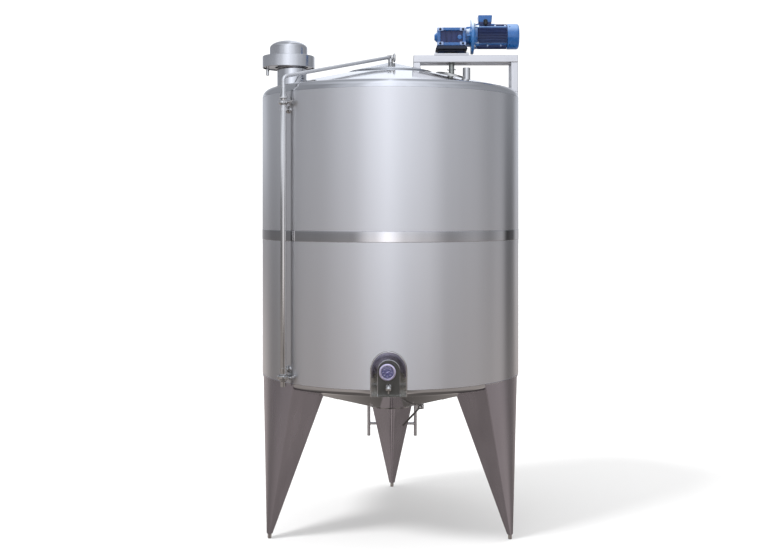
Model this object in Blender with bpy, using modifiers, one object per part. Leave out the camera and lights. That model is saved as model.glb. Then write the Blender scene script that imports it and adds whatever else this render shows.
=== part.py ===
"""Vertical storage tank: a jacketed stainless vessel on three tapered legs.

Metres, +Z up. The vessel's axis is X = 0, Y = 0, the feet stand on Z = 0 and
the instrument alcove faces -Y. The agitator drive stands to the right, at +X.
"""
import math

import bmesh
import bpy
from mathutils import Matrix, Vector

# Clearance between pieces that touch
SEAT = 0.0003

# How far the cutters of the roof and bottom reach into the vessel, and the bores' ends
CUT_DEPTH = 0.400
BORE_LOW = 2.900
BORE_HIGH = 3.420

# Vessel: outer radius, thickness of the jacketed wall, and the courses
SHELL_RADIUS = 0.900
WALL = 0.060
WALL_LOW = 1.058
WALL_HIGH = 2.968
BAND_LOW = 1.987
BAND_HIGH = 2.056
ROUND_SIDES = 96

# Roof: edge knuckle, cone and the raised crown plate
TOP_KNUCKLE = 0.058
ROOF_SLOPE = 0.231
ROOF_THICKNESS = 0.040
CROWN_RADIUS = 0.300
CROWN_EDGE = 0.008
CROWN_RISE = 0.014

# Bottom: edge knuckle, cone and the closing plate
BOTTOM_KNUCKLE = 0.046
BOTTOM_LIP_RADIUS = 0.860
BOTTOM_SLOPE = 0.285
BOTTOM_THICKNESS = 0.040
OUTLET_PLATE_RADIUS = 0.152
OUTLET_PLATE_LOW = 0.8053

# Legs: three tapered folded legs, each on a pin
LEG_ANGLES = {"leg_left": 210.0, "leg_right": 330.0, "leg_rear": 90.0}
LEG_TOP = 1.057
LEG_FOOT = 0.030
LEG_FOOT_WIDTH = 0.030
LEG_FLARE = 0.445
LEG_FOOT_RADIUS = 0.9375
LEG_INNER_FOOT = 0.900
LEG_INNER_SLOPE = 0.460
LEG_INNER_FOLD = 0.090
LEG_OUTER_FOLD = 0.012
PIN_RADIUS = 0.013
PIN_CIRCLE = 0.925

# Alcove: the arched instrument niche in the jacket at the front
ALCOVE_MOUTH_HALF = 0.119
ALCOVE_MOUTH_TOP = 1.300
ALCOVE_BACK_HALF = 0.071
ALCOVE_BACK_TOP = 1.2433
ALCOVE_DEPTH = 0.046
ALCOVE_FLOOR = 1.020
ALCOVE_SHEET = 0.004
ALCOVE_REACH = 1.6
THERMOMETER = (-0.008, 1.172)
THERMOMETER_RADIUS = 0.0535
THERMOMETER_FRONT = -0.905
THERMOMETER_STEM = 0.020
RING_DEPTH = 0.022
DIAL_RADIUS = 0.0395
DIAL_SINK = 0.006
COCK = (-0.001, 1.074)
COCK_STEM = 0.009
COCK_ROOT = 0.014
COCK_FRONT = -0.956
SPOUT_OUT = 0.052
SPOUT_DROP = 0.036
SPOUT_RADIUS = 0.005

# Breather on the roof at the left
NECK_X = -0.6985
NECK_RADIUS = 0.104
NECK_BORE = 0.096
NECK_LOW = 2.990
HEAD_X = -0.722
HEAD_LOW = 3.192
HEAD_HIGH = 3.276
HEAD_RADIUS = 0.184
DOME_RADIUS = 0.133
DOME_TOP = 3.3875
DOME_CROWN = 0.056
HEAD_SHEET = 0.006
DRAIN_INSET = 0.035
DRAIN_LOW = 3.142
DRAIN_RADIUS = 0.011

# Cleaning riser at the front left, and its pipe over the roof
RISER = (-0.690, -0.643)
RISER_RADIUS = 0.019
RISER_LOW = 1.116
RISER_HIGH = 2.8795
FERRULE_LIP = 0.0252
FERRULE_LOW = 1.040
FERRULE_TOP = 1.0855
LOW_CLAMP_RADIUS = 0.040
LOW_CLAMP_HALF = 0.015
HIGH_CLAMP_RADIUS = 0.0335
HIGH_CLAMP_HALF = 0.0127
REDUCER_TOP = 2.985
REDUCER_RING = 0.026
REDUCER_NECK = 0.0165
PIPE_RADIUS = 0.0125
PIPE_ELBOW_Z = 3.057
PIPE_BEND = 0.030
SPRAY_TEE_Z = 3.268
SPRAY_TEE_RADIUS = 0.017
SPRAY_TEE_RISE = 0.012
SOCKET_RADIUS = 0.0155
SOCKET_LENGTH = 0.024
BRANCH_RADIUS = 0.016
BRANCH_LENGTH = 0.0185
CAP_RADIUS = 0.032
CAP_THICKNESS = 0.017
BRACKET_HEIGHTS = {"riser_bracket_low": 1.150, "riser_bracket_high": 2.845}
BRACKET_RADIUS = 0.009
BRACKET_FOOT = 0.024

# Agitator: frame, shaft and drive
AGITATOR_X = 0.432
FRAME_LEFT = 0.161
FRAME_RIGHT = 0.893
FRAME_HALF_DEPTH = 0.0975
FRAME_TUBE = 0.050
FRAME_TOP = 3.272
LEFT_POST_LOW = 3.100
RIGHT_POST_LOW = 2.985
FRAME_PLATE = 0.012
PLATE_MARGIN = 0.020
SHAFT_RADIUS = 0.020
SHAFT_BORE = 0.0206
SHAFT_HOLE = 0.030
SHAFT_LOW = 1.300
IMPELLER_RADIUS = 0.160
IMPELLER_HUB = 0.036
BLADE_HALF_WIDTH = 0.028
BLADE_HALF_SHEET = 0.003
BLADE_PITCH = 50.0
BLADE_RISE = 0.055
PAD_RADIUS = 0.120
PAD_THICKNESS = 0.020
SEAL_RADIUS = 0.041
SEAL_TOP = 3.182
BASE_HEIGHT = 0.058
BASE_WAIST = 0.018
GEARBOX_LEFT = 0.328
GEARBOX_RIGHT = 0.531
GEARBOX_TOP = 3.469
GEARBOX_EDGE = 0.008
GEARBOX_HALF_DEPTH = 0.080
MOTOR_Z = 3.414
MOTOR_FLANGE_RADIUS = 0.125
MOTOR_NECK = 0.055
FLANGE_START = 0.035
FLANGE_END = 0.055
BELL_RADIUS = 0.090
MOTOR_RADIUS = 0.0875
BODY_START = 0.066
BODY_END = 0.290
FAN_COVER_END = 0.374
FAN_COVER_RADIUS = 0.090
FAN_COVER_ROUND = 0.016
TERMINAL_LEFT = 0.6167
TERMINAL_RIGHT = 0.7158
TERMINAL_HALF_DEPTH = 0.052
TERMINAL_LOW = 3.478
TERMINAL_TOP = 3.559
TERMINAL_TAPER = 0.004

# Roof nozzle beside the agitator
NOZZLE = (0.5312, -0.120)
NOZZLE_RADIUS = 0.027
NOZZLE_BORE = 0.023
NOZZLE_TOP = 3.179
NOZZLE_LOW = 3.020

# Outlet valve under the bottom cone and its lever
VALVE = (0.211, 0.100)
VALVE_Z = 0.782
VALVE_SIZE = (0.054, 0.060, 0.057)
VALVE_LOW = 0.742
VALVE_STUB = 0.022
VALVE_TAIL = 0.0252
HUB_Z = 0.7836
STEM_RADIUS = 0.008
LEVER_LENGTH = 0.183
LEVER_WIDTH = 0.014
LEVER_THICKNESS = 0.008
LEVER_CLEAR = 0.0055
LEVER_ANGLE = 46.8

# Ladder behind the tank
LADDER_HALF = 0.185
LADDER_Y = 0.985
LADDER_LOW = 0.390
LADDER_HIGH = 3.060
STRINGER_RADIUS = 0.0125
RUNG_RADIUS = 0.011
RUNG_FIRST = 0.488
RUNG_PITCH = 0.280
RUNG_COUNT = 10
STANDOFF_HEIGHTS = (1.250, 2.050, 2.850)
STANDOFF_RADIUS = 0.009
STANDOFF_ROOT = 0.800

KNUCKLE_END = math.atan(1.0 / ROOF_SLOPE)
ROOF_EDGE_RADIUS = SHELL_RADIUS - TOP_KNUCKLE * (1.0 - math.cos(KNUCKLE_END))
ROOF_EDGE_Z = WALL_HIGH + TOP_KNUCKLE * math.sin(KNUCKLE_END)
APEX_Z = ROOF_EDGE_Z + ROOF_SLOPE * ROOF_EDGE_RADIUS
INNER_RADIUS = SHELL_RADIUS - WALL


def roof_z(radius):
    """Height of the roof's outer face at a distance from the axis."""
    return APEX_Z - ROOF_SLOPE * radius


def bottom_z(radius):
    """Height of the bottom cone's outer face at a distance from the axis."""
    lip_z = WALL_LOW - BOTTOM_KNUCKLE
    return lip_z - BOTTOM_SLOPE * (BOTTOM_LIP_RADIUS - radius)


# Scene and materials
for old in list(bpy.data.objects):
    bpy.data.objects.remove(old, do_unlink=True)

parts = bpy.data.collections.new("vertical_storage_tank")
cutters = bpy.data.collections.new("cutters")
bpy.context.scene.collection.children.link(parts)
bpy.context.scene.collection.children.link(cutters)


def material(name, colour, metallic, roughness):
    """A Principled material."""
    made = bpy.data.materials.new(name)
    made.use_nodes = True
    shader = made.node_tree.nodes["Principled BSDF"]
    shader.inputs["Base Color"].default_value = (*colour, 1.0)
    shader.inputs["Metallic"].default_value = metallic
    shader.inputs["Roughness"].default_value = roughness
    made.diffuse_color = (*colour, 1.0)
    return made


def satin_steel():
    """Satin stainless sheet of the jacket."""
    return material("satin_steel", (0.60, 0.60, 0.62), 1.0, 0.35)


def polished_steel():
    """Polished stainless of the bands, roof and bottom."""
    return material("polished_steel", (0.68, 0.68, 0.70), 1.0, 0.12)


def pipe_steel():
    """Bright stainless of pipes and fittings."""
    return material("pipe_steel", (0.62, 0.62, 0.62), 1.0, 0.22)


def leg_steel():
    """Brushed stainless of the legs, frame and ladder."""
    return material("leg_steel", (0.42, 0.40, 0.39), 1.0, 0.38)


def blue_paint():
    """Blue enamel of the drive."""
    return material("blue_paint", (0.035, 0.12, 0.38), 0.0, 0.35)


def black_casting():
    """Black painted casting under the gearbox."""
    return material("black_casting", (0.012, 0.013, 0.016), 0.0, 0.45)


def dial_face():
    """Blue face of the thermometer in its pale ring."""
    return material("dial_face", (0.12, 0.10, 0.45), 0.0, 0.25)


# Builders
def place(name, bm, finish, hidden=False):
    """Link a bmesh as a part, or as a cutter where hidden."""
    mesh = bpy.data.meshes.new(name)
    bm.to_mesh(mesh)
    bm.free()
    made = bpy.data.objects.new(name, mesh)
    if hidden:
        cutters.objects.link(made)
        made.hide_render = True
        made.display_type = "WIRE"
    else:
        parts.objects.link(made)
    if finish is not None:
        mesh.materials.append(finish)
    return made


def box(name, low, high, finish=None, hidden=False):
    """An upright box between two corners."""
    bm = bmesh.new()
    bmesh.ops.create_cube(bm, size=1.0)
    low, high = Vector(low), Vector(high)
    size = high - low
    bmesh.ops.scale(bm, vec=size, verts=bm.verts)
    bmesh.ops.translate(bm, vec=(low + high) / 2, verts=bm.verts)
    return place(name, bm, finish, hidden)


def rod(name, start, end, radius, finish=None, hidden=False, sides=24):
    """A cylinder from one point to another."""
    start, end = Vector(start), Vector(end)
    axis = end - start
    bm = bmesh.new()
    bmesh.ops.create_cone(bm, cap_ends=True, segments=sides, radius1=radius, radius2=radius,
                          depth=axis.length)
    turn = Vector((0, 0, 1)).rotation_difference(axis).to_matrix().to_4x4()
    bmesh.ops.transform(bm, matrix=Matrix.Translation((start + end) / 2) @ turn, verts=bm.verts)
    return place(name, bm, finish, hidden)


def turned(name, profile, finish=None, hidden=False, sides=ROUND_SIDES, closed=False,
           centre=(0.0, 0.0, 0.0), rotation=(0.0, 0.0, 0.0)):
    """A profile of (radius, height) points, outer side top to bottom, turned about Z."""
    bm = bmesh.new()
    verts = [bm.verts.new((radius, 0.0, height)) for radius, height in profile]
    for one, two in zip(verts, verts[1:]):
        bm.edges.new((one, two))
    if closed:
        bm.edges.new((verts[-1], verts[0]))
    made = place(name, bm, finish, hidden)
    screw = made.modifiers.new("turn", "SCREW")
    screw.steps = sides
    screw.render_steps = sides
    screw.use_merge_vertices = True
    screw.merge_threshold = 0.00001
    made.location = centre
    made.rotation_euler = rotation
    return made


def wall_segment(name, low, high, middle_angle):
    """A quarter of the jacketed wall, closed at its two ends."""
    half_gap = math.degrees(SEAT / 2 / INNER_RADIUS)
    steps = ROUND_SIDES // 4
    bm = bmesh.new()
    profile = ((SHELL_RADIUS, high), (SHELL_RADIUS, low), (INNER_RADIUS, low), (INNER_RADIUS, high))
    verts = [bm.verts.new((radius, 0.0, height)) for radius, height in profile]
    edges = [bm.edges.new((verts[i], verts[(i + 1) % 4])) for i in range(4)]
    bmesh.ops.rotate(bm, verts=verts, cent=(0, 0, 0),
                     matrix=Matrix.Rotation(math.radians(middle_angle - 45 + half_gap), 3, "Z"))
    bmesh.ops.spin(bm, geom=verts + edges, cent=(0, 0, 0), axis=(0, 0, 1), steps=steps,
                   angle=math.radians(90 - 2 * half_gap), use_duplicate=False)
    bmesh.ops.holes_fill(bm, edges=bm.edges, sides=4)
    bmesh.ops.recalc_face_normals(bm, faces=bm.faces)
    return place(name, bm, satin)


def loft(name, rings, finish=None, hidden=False):
    """A closed solid through rings of points, capped at both ends."""
    bm = bmesh.new()
    rows = [[bm.verts.new(point) for point in ring] for ring in rings]
    for row, above in zip(rows, rows[1:]):
        count = len(row)
        for i in range(count):
            bm.faces.new((row[i], row[(i + 1) % count], above[(i + 1) % count], above[i]))
    bm.faces.new(rows[0])
    bm.faces.new(rows[-1])
    bmesh.ops.recalc_face_normals(bm, faces=bm.faces)
    return place(name, bm, finish, hidden)


def boolean(made, other, operation):
    """Add an exact boolean with another object as its operand."""
    step = made.modifiers.new(operation.lower() + "_" + other.name, "BOOLEAN")
    step.operation = operation
    step.solver = "EXACT"
    step.object = other


def cut(made, *others):
    """Subtract the operands from a piece."""
    for other in others:
        boolean(made, other, "DIFFERENCE")


def unite(made, *others):
    """Join the operands to a piece."""
    for other in others:
        boolean(made, other, "UNION")


def bevel(made, width, segments=1):
    """Break a piece's sharp edges."""
    step = made.modifiers.new("bevel", "BEVEL")
    step.width = width
    step.segments = segments
    step.limit_method = "ANGLE"
    step.angle_limit = math.radians(40)


def arc(centre, radius, start, end, steps):
    """Points of an arc in a plane, angles in degrees."""
    points = []
    for i in range(steps + 1):
        angle = math.radians(start + (end - start) * i / steps)
        points.append((centre[0] + radius * math.cos(angle), centre[1] + radius * math.sin(angle)))
    return points


satin = satin_steel()
polished = polished_steel()
pipe = pipe_steel()
brushed = leg_steel()
blue = blue_paint()
black = black_casting()
dial = dial_face()


# Cutters that carry the vessel's own outer faces, one seat clear of them
def top_profile(clear):
    """Roof cone and knuckle, from the apex to the wall's top edge."""
    end = math.degrees(KNUCKLE_END)
    edge = arc((SHELL_RADIUS - TOP_KNUCKLE, WALL_HIGH), TOP_KNUCKLE + clear, end, 0.0, 5)
    return [(0.0, APEX_Z + clear / math.cos(math.atan(ROOF_SLOPE)))] + edge


def bottom_profile(clear):
    """Knuckle and bottom cone, from the wall's low edge to the closing plate."""
    centre = (SHELL_RADIUS - BOTTOM_KNUCKLE, WALL_LOW)
    edge = arc(centre, BOTTOM_KNUCKLE + clear, 0.0, -82.5, 4)
    lip = (BOTTOM_LIP_RADIUS, WALL_LOW - BOTTOM_KNUCKLE - clear)
    plate = (OUTLET_PLATE_RADIUS, bottom_z(OUTLET_PLATE_RADIUS) - clear)
    return edge + [lip, plate]


roof_cutter = turned(
    "roof_cutter",
    top_profile(SEAT) + [(SHELL_RADIUS + SEAT, WALL_HIGH - CUT_DEPTH), (0.0, WALL_HIGH - CUT_DEPTH)],
    hidden=True,
)
wall_cutter = turned(
    "wall_cutter",
    [(0.0, WALL_HIGH), (SHELL_RADIUS + SEAT, WALL_HIGH), (SHELL_RADIUS + SEAT, WALL_LOW),
     (0.0, WALL_LOW)],
    hidden=True,
)
bottom_cutter = turned(
    "bottom_cutter",
    [(0.0, WALL_LOW + CUT_DEPTH), (SHELL_RADIUS + SEAT, WALL_LOW + CUT_DEPTH)]
    + bottom_profile(SEAT) + [(0.0, bottom_z(OUTLET_PLATE_RADIUS) - SEAT)],
    hidden=True,
)
crown_apex = APEX_Z + CROWN_RISE
crown_cutter = turned(
    "crown_cutter",
    [(0.0, crown_apex + SEAT), (CROWN_RADIUS + SEAT, roof_z(CROWN_RADIUS) + CROWN_EDGE + SEAT),
     (CROWN_RADIUS + SEAT, WALL_HIGH), (0.0, WALL_HIGH)],
    hidden=True,
)


# Alcove shapes
def arch(half_width, top, bottom, y):
    """Outline of an upright arch at one depth."""
    spring = top - half_width
    points = [(half_width, bottom)] + arc((0.0, spring), half_width, 0.0, 180.0, 16)
    points.append((-half_width, bottom))
    return [Vector((x, y, z)) for x, z in points]


def alcove_funnel(name, grow, hidden=True):
    """The niche's space, grown outwards, from in front of the wall to its back."""
    back = -(SHELL_RADIUS - ALCOVE_DEPTH - grow)
    flare = (ALCOVE_MOUTH_HALF - ALCOVE_BACK_HALF) * ALCOVE_REACH
    rise = (ALCOVE_MOUTH_TOP - ALCOVE_BACK_TOP) * ALCOVE_REACH
    front = -(SHELL_RADIUS - ALCOVE_DEPTH) - ALCOVE_DEPTH * ALCOVE_REACH
    low = ALCOVE_FLOOR - grow
    return loft(name, [
        arch(ALCOVE_BACK_HALF + flare + grow, ALCOVE_BACK_TOP + rise + grow, low, front),
        arch(ALCOVE_BACK_HALF + grow, ALCOVE_BACK_TOP + grow, low, back),
    ], finish=polished, hidden=hidden)


alcove_cutter = alcove_funnel("alcove_cutter", ALCOVE_SHEET + SEAT)
alcove_inside = alcove_funnel("alcove_inside", 0.0)


# Bores through the roof
def roof_bore(name, x, y, radius, sides=24):
    """An upright bore through the roof."""
    return rod(name, (x, y, BORE_LOW), (x, y, BORE_HIGH), radius, hidden=True, sides=sides)


vent_bore = roof_bore("vent_bore", NECK_X, 0, NECK_BORE, sides=32)
shaft_hole = roof_bore("shaft_hole", AGITATOR_X, 0, SHAFT_HOLE)
shaft_bore = roof_bore("shaft_bore", AGITATOR_X, 0, SHAFT_BORE)
nozzle_bore = roof_bore("nozzle_bore", *NOZZLE, NOZZLE_BORE)


def vessel():
    """Wall courses, band, roof and bottom."""
    sides = {"front": 270.0, "right": 0.0, "rear": 90.0, "left": 180.0}
    for side, angle in sides.items():
        lower = wall_segment(f"shell_lower_{side}", WALL_LOW, BAND_LOW - SEAT, angle)
        if side == "front":
            cut(lower, alcove_cutter)
        wall_segment(f"shell_upper_{side}", BAND_HIGH + SEAT, WALL_HIGH - SEAT, angle)
    turned("mid_band", [
        (SHELL_RADIUS, BAND_HIGH), (SHELL_RADIUS, BAND_LOW),
        (INNER_RADIUS, BAND_LOW), (INNER_RADIUS, BAND_HIGH),
    ], polished, closed=True)

    knuckle = top_profile(0.0)[1:]
    turned("top_knuckle", knuckle + [(ROOF_EDGE_RADIUS, WALL_HIGH)], polished, closed=True)
    edge = ROOF_EDGE_RADIUS - SEAT
    roof = turned("roof_cone", [
        (0.0, APEX_Z), (edge, roof_z(edge)), (edge, WALL_HIGH + SEAT),
        (INNER_RADIUS, WALL_HIGH + SEAT), (INNER_RADIUS, roof_z(INNER_RADIUS) - ROOF_THICKNESS),
        (0.0, APEX_Z - ROOF_THICKNESS),
    ], polished)
    cut(roof, vent_bore, shaft_hole, nozzle_bore)
    turned("roof_crown", [
        (0.0, crown_apex), (CROWN_RADIUS, roof_z(CROWN_RADIUS) + CROWN_EDGE),
        (CROWN_RADIUS, roof_z(CROWN_RADIUS) + SEAT), (0.0, APEX_Z + SEAT),
    ], polished)

    low_edge = bottom_profile(0.0)
    lip = low_edge[-2]
    ring = turned("bottom_knuckle", [(SHELL_RADIUS, WALL_LOW - SEAT)] + low_edge[1:-1]
                  + [(lip[0], WALL_LOW - SEAT)], polished, closed=True)
    cut(ring, alcove_cutter)
    rim = BOTTOM_LIP_RADIUS - SEAT
    inside = bottom_z(INNER_RADIUS) + BOTTOM_THICKNESS
    cone = turned("bottom_cone", [
        (0.0, bottom_z(0.0) + BOTTOM_THICKNESS), (INNER_RADIUS, inside),
        (INNER_RADIUS, WALL_LOW - SEAT), (rim, WALL_LOW - SEAT), (rim, bottom_z(rim)),
        (OUTLET_PLATE_RADIUS, bottom_z(OUTLET_PLATE_RADIUS)),
        (0.0, bottom_z(OUTLET_PLATE_RADIUS)),
    ], polished)
    cut(cone, alcove_cutter)
    rod("outlet_plate", (0, 0, OUTLET_PLATE_LOW), (0, 0, bottom_z(OUTLET_PLATE_RADIUS) - SEAT),
        OUTLET_PLATE_RADIUS, pipe, sides=48)


def alcove():
    """Sheet liner of the niche, the thermometer and the sample cock."""
    liner = alcove_funnel("alcove", ALCOVE_SHEET, hidden=False)
    outside = turned("alcove_outside", [
        (1.2, 1.5), (1.2, 0.9), (SHELL_RADIUS, 0.9), (SHELL_RADIUS, 1.5),
    ], hidden=True, closed=True)
    cut(liner, alcove_inside, outside)
    back = -(SHELL_RADIUS - ALCOVE_DEPTH) - SEAT
    x, z = THERMOMETER
    stem = back - THERMOMETER_FRONT
    rim = THERMOMETER_RADIUS
    turned("thermometer", [
        (0.0, stem - DIAL_SINK), (DIAL_RADIUS, stem - DIAL_SINK), (DIAL_RADIUS, stem),
        (rim - 0.003, stem), (rim, stem - 0.003), (rim, stem - RING_DEPTH),
        (THERMOMETER_STEM, stem - RING_DEPTH), (THERMOMETER_STEM, 0.0), (0.0, 0.0),
    ], dial, sides=36, centre=(x, back, z), rotation=(math.pi / 2, 0, 0))
    x, z = COCK
    reach = back - COCK_FRONT
    cock = turned("sample_cock", [
        (0.0, reach), (0.010, reach - 0.002), (0.0165, reach - 0.008), (0.0175, reach - 0.014),
        (0.0165, reach - 0.020), (COCK_STEM, reach - 0.024), (COCK_STEM, 0.040),
        (COCK_ROOT, 0.036), (COCK_ROOT, 0.0), (0.0, 0.0),
    ], pipe, sides=24, centre=(x, back, z), rotation=(math.pi / 2, 0, 0))
    spout_y = back - SPOUT_OUT
    spout = rod("cock_spout", (x, spout_y, z), (x, spout_y, z - SPOUT_DROP), SPOUT_RADIUS,
                hidden=True, sides=12)
    unite(cock, spout)


def rounded(corners, radii, steps):
    """A polygon's corners rounded with arcs of their own radii, as points in a plane."""
    points = []
    count = len(corners)
    for i, (corner, radius) in enumerate(zip(corners, radii)):
        here = Vector(corner)
        before = (Vector(corners[i - 1]) - here).normalized()
        after = (Vector(corners[(i + 1) % count]) - here).normalized()
        half = before.angle(after) / 2
        centre = here + (before + after).normalized() * radius / math.sin(half)
        start = here + before * radius / math.tan(half) - centre
        end = here + after * radius / math.tan(half) - centre
        sweep = start.angle_signed(end)
        for k in range(steps + 1):
            turn = Matrix.Rotation(-sweep * k / steps, 2)
            points.append(centre + turn @ start)
    return points


def leg_ring(height, angle):
    """A leg's section at one height: two outer folds, a bowed face and the inner fold."""
    share = (height - LEG_FOOT) / (LEG_TOP - LEG_FOOT)
    half = (LEG_FOOT_WIDTH + LEG_FLARE * height) / 2
    # At the top the bowed face lies on the wall's circle as far as the folds of about 60 degrees
    top_half = (LEG_FOOT_WIDTH + LEG_FLARE * LEG_TOP) / 2 * (1 - 2 * LEG_OUTER_FOLD * math.sqrt(3))
    top_fold = math.sqrt(SHELL_RADIUS ** 2 - top_half ** 2)
    fold = LEG_FOOT_RADIUS + (top_fold - LEG_FOOT_RADIUS) * share
    inner = LEG_INNER_FOOT - LEG_INNER_SLOPE * (height - LEG_FOOT)
    bow = (SHELL_RADIUS - top_fold) * share
    corners = [(inner, 0.0), (fold, half), (fold, -half)]
    radii = [half * 2 * ratio for ratio in (LEG_INNER_FOLD, LEG_OUTER_FOLD, LEG_OUTER_FOLD)]
    outline = rounded(corners, radii, 4)
    turn = Matrix.Rotation(math.radians(angle), 3, "Z")
    ring = []
    for radial, side in outline[:10]:
        ring.append(turn @ Vector((radial, side, height)))
    last, first = outline[9], outline[10]
    for k in range(1, 6):
        share_across = k / 6
        point = last.lerp(first, share_across)
        lift = bow * 4 * share_across * (1 - share_across)
        ring.append(turn @ Vector((point[0] + lift, point[1], height)))
    for radial, side in outline[10:]:
        ring.append(turn @ Vector((radial, side, height)))
    return ring


def legs():
    """Three tapered legs and the pins they stand on."""
    for name, angle in LEG_ANGLES.items():
        leg = loft(name, [leg_ring(LEG_FOOT, angle), leg_ring(LEG_TOP, angle)], brushed)
        cut(leg, bottom_cutter)
        x = PIN_CIRCLE * math.cos(math.radians(angle))
        y = PIN_CIRCLE * math.sin(math.radians(angle))
        rod(name.replace("leg", "foot"), (x, y, 0), (x, y, LEG_FOOT - SEAT), PIN_RADIUS, pipe, sides=16)


def dome_profile(inwards):
    """Crowned top of the breather's dome, a quarter ellipse from the axis outwards."""
    width, crown = DOME_RADIUS - inwards, DOME_CROWN - inwards
    turns = [math.pi / 2 * k / 6 for k in range(7)]
    return [(width * math.sin(a), DOME_TOP - DOME_CROWN + crown * math.cos(a)) for a in turns]


def breather():
    """Vent neck, drum and dome, with a drain stub under the drum."""
    neck = turned("breather_neck", [
        (NECK_RADIUS, HEAD_HIGH - HEAD_SHEET - SEAT), (NECK_RADIUS, NECK_LOW),
        (NECK_BORE, NECK_LOW), (NECK_BORE, HEAD_HIGH - HEAD_SHEET - SEAT),
    ], polished, sides=32, closed=True, centre=(NECK_X, 0, 0))
    cut(neck, roof_cutter)
    drum = turned("breather_drum", [
        (0.0, HEAD_HIGH), (HEAD_RADIUS, HEAD_HIGH), (HEAD_RADIUS, HEAD_LOW),
        (HEAD_RADIUS - HEAD_SHEET, HEAD_LOW), (HEAD_RADIUS - HEAD_SHEET, HEAD_HIGH - HEAD_SHEET),
        (0.0, HEAD_HIGH - HEAD_SHEET),
    ], satin, sides=48, centre=(HEAD_X, 0, 0))
    drum_hole = rod("drum_hole", (NECK_X, 0, HEAD_LOW), (NECK_X, 0, HEAD_HIGH + 0.02), NECK_BORE,
                    hidden=True, sides=32)
    cut(drum, drum_hole)
    base = HEAD_HIGH + SEAT
    turned("breather_dome", dome_profile(0.0) + [(DOME_RADIUS, base), (DOME_RADIUS - HEAD_SHEET, base)]
           + dome_profile(HEAD_SHEET)[::-1], satin, sides=36, centre=(HEAD_X, 0, 0))
    x = HEAD_X - HEAD_RADIUS + DRAIN_INSET
    rod("breather_drain", (x, 0, DRAIN_LOW), (x, 0, HEAD_HIGH - HEAD_SHEET - SEAT), DRAIN_RADIUS,
        pipe, sides=16)


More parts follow.
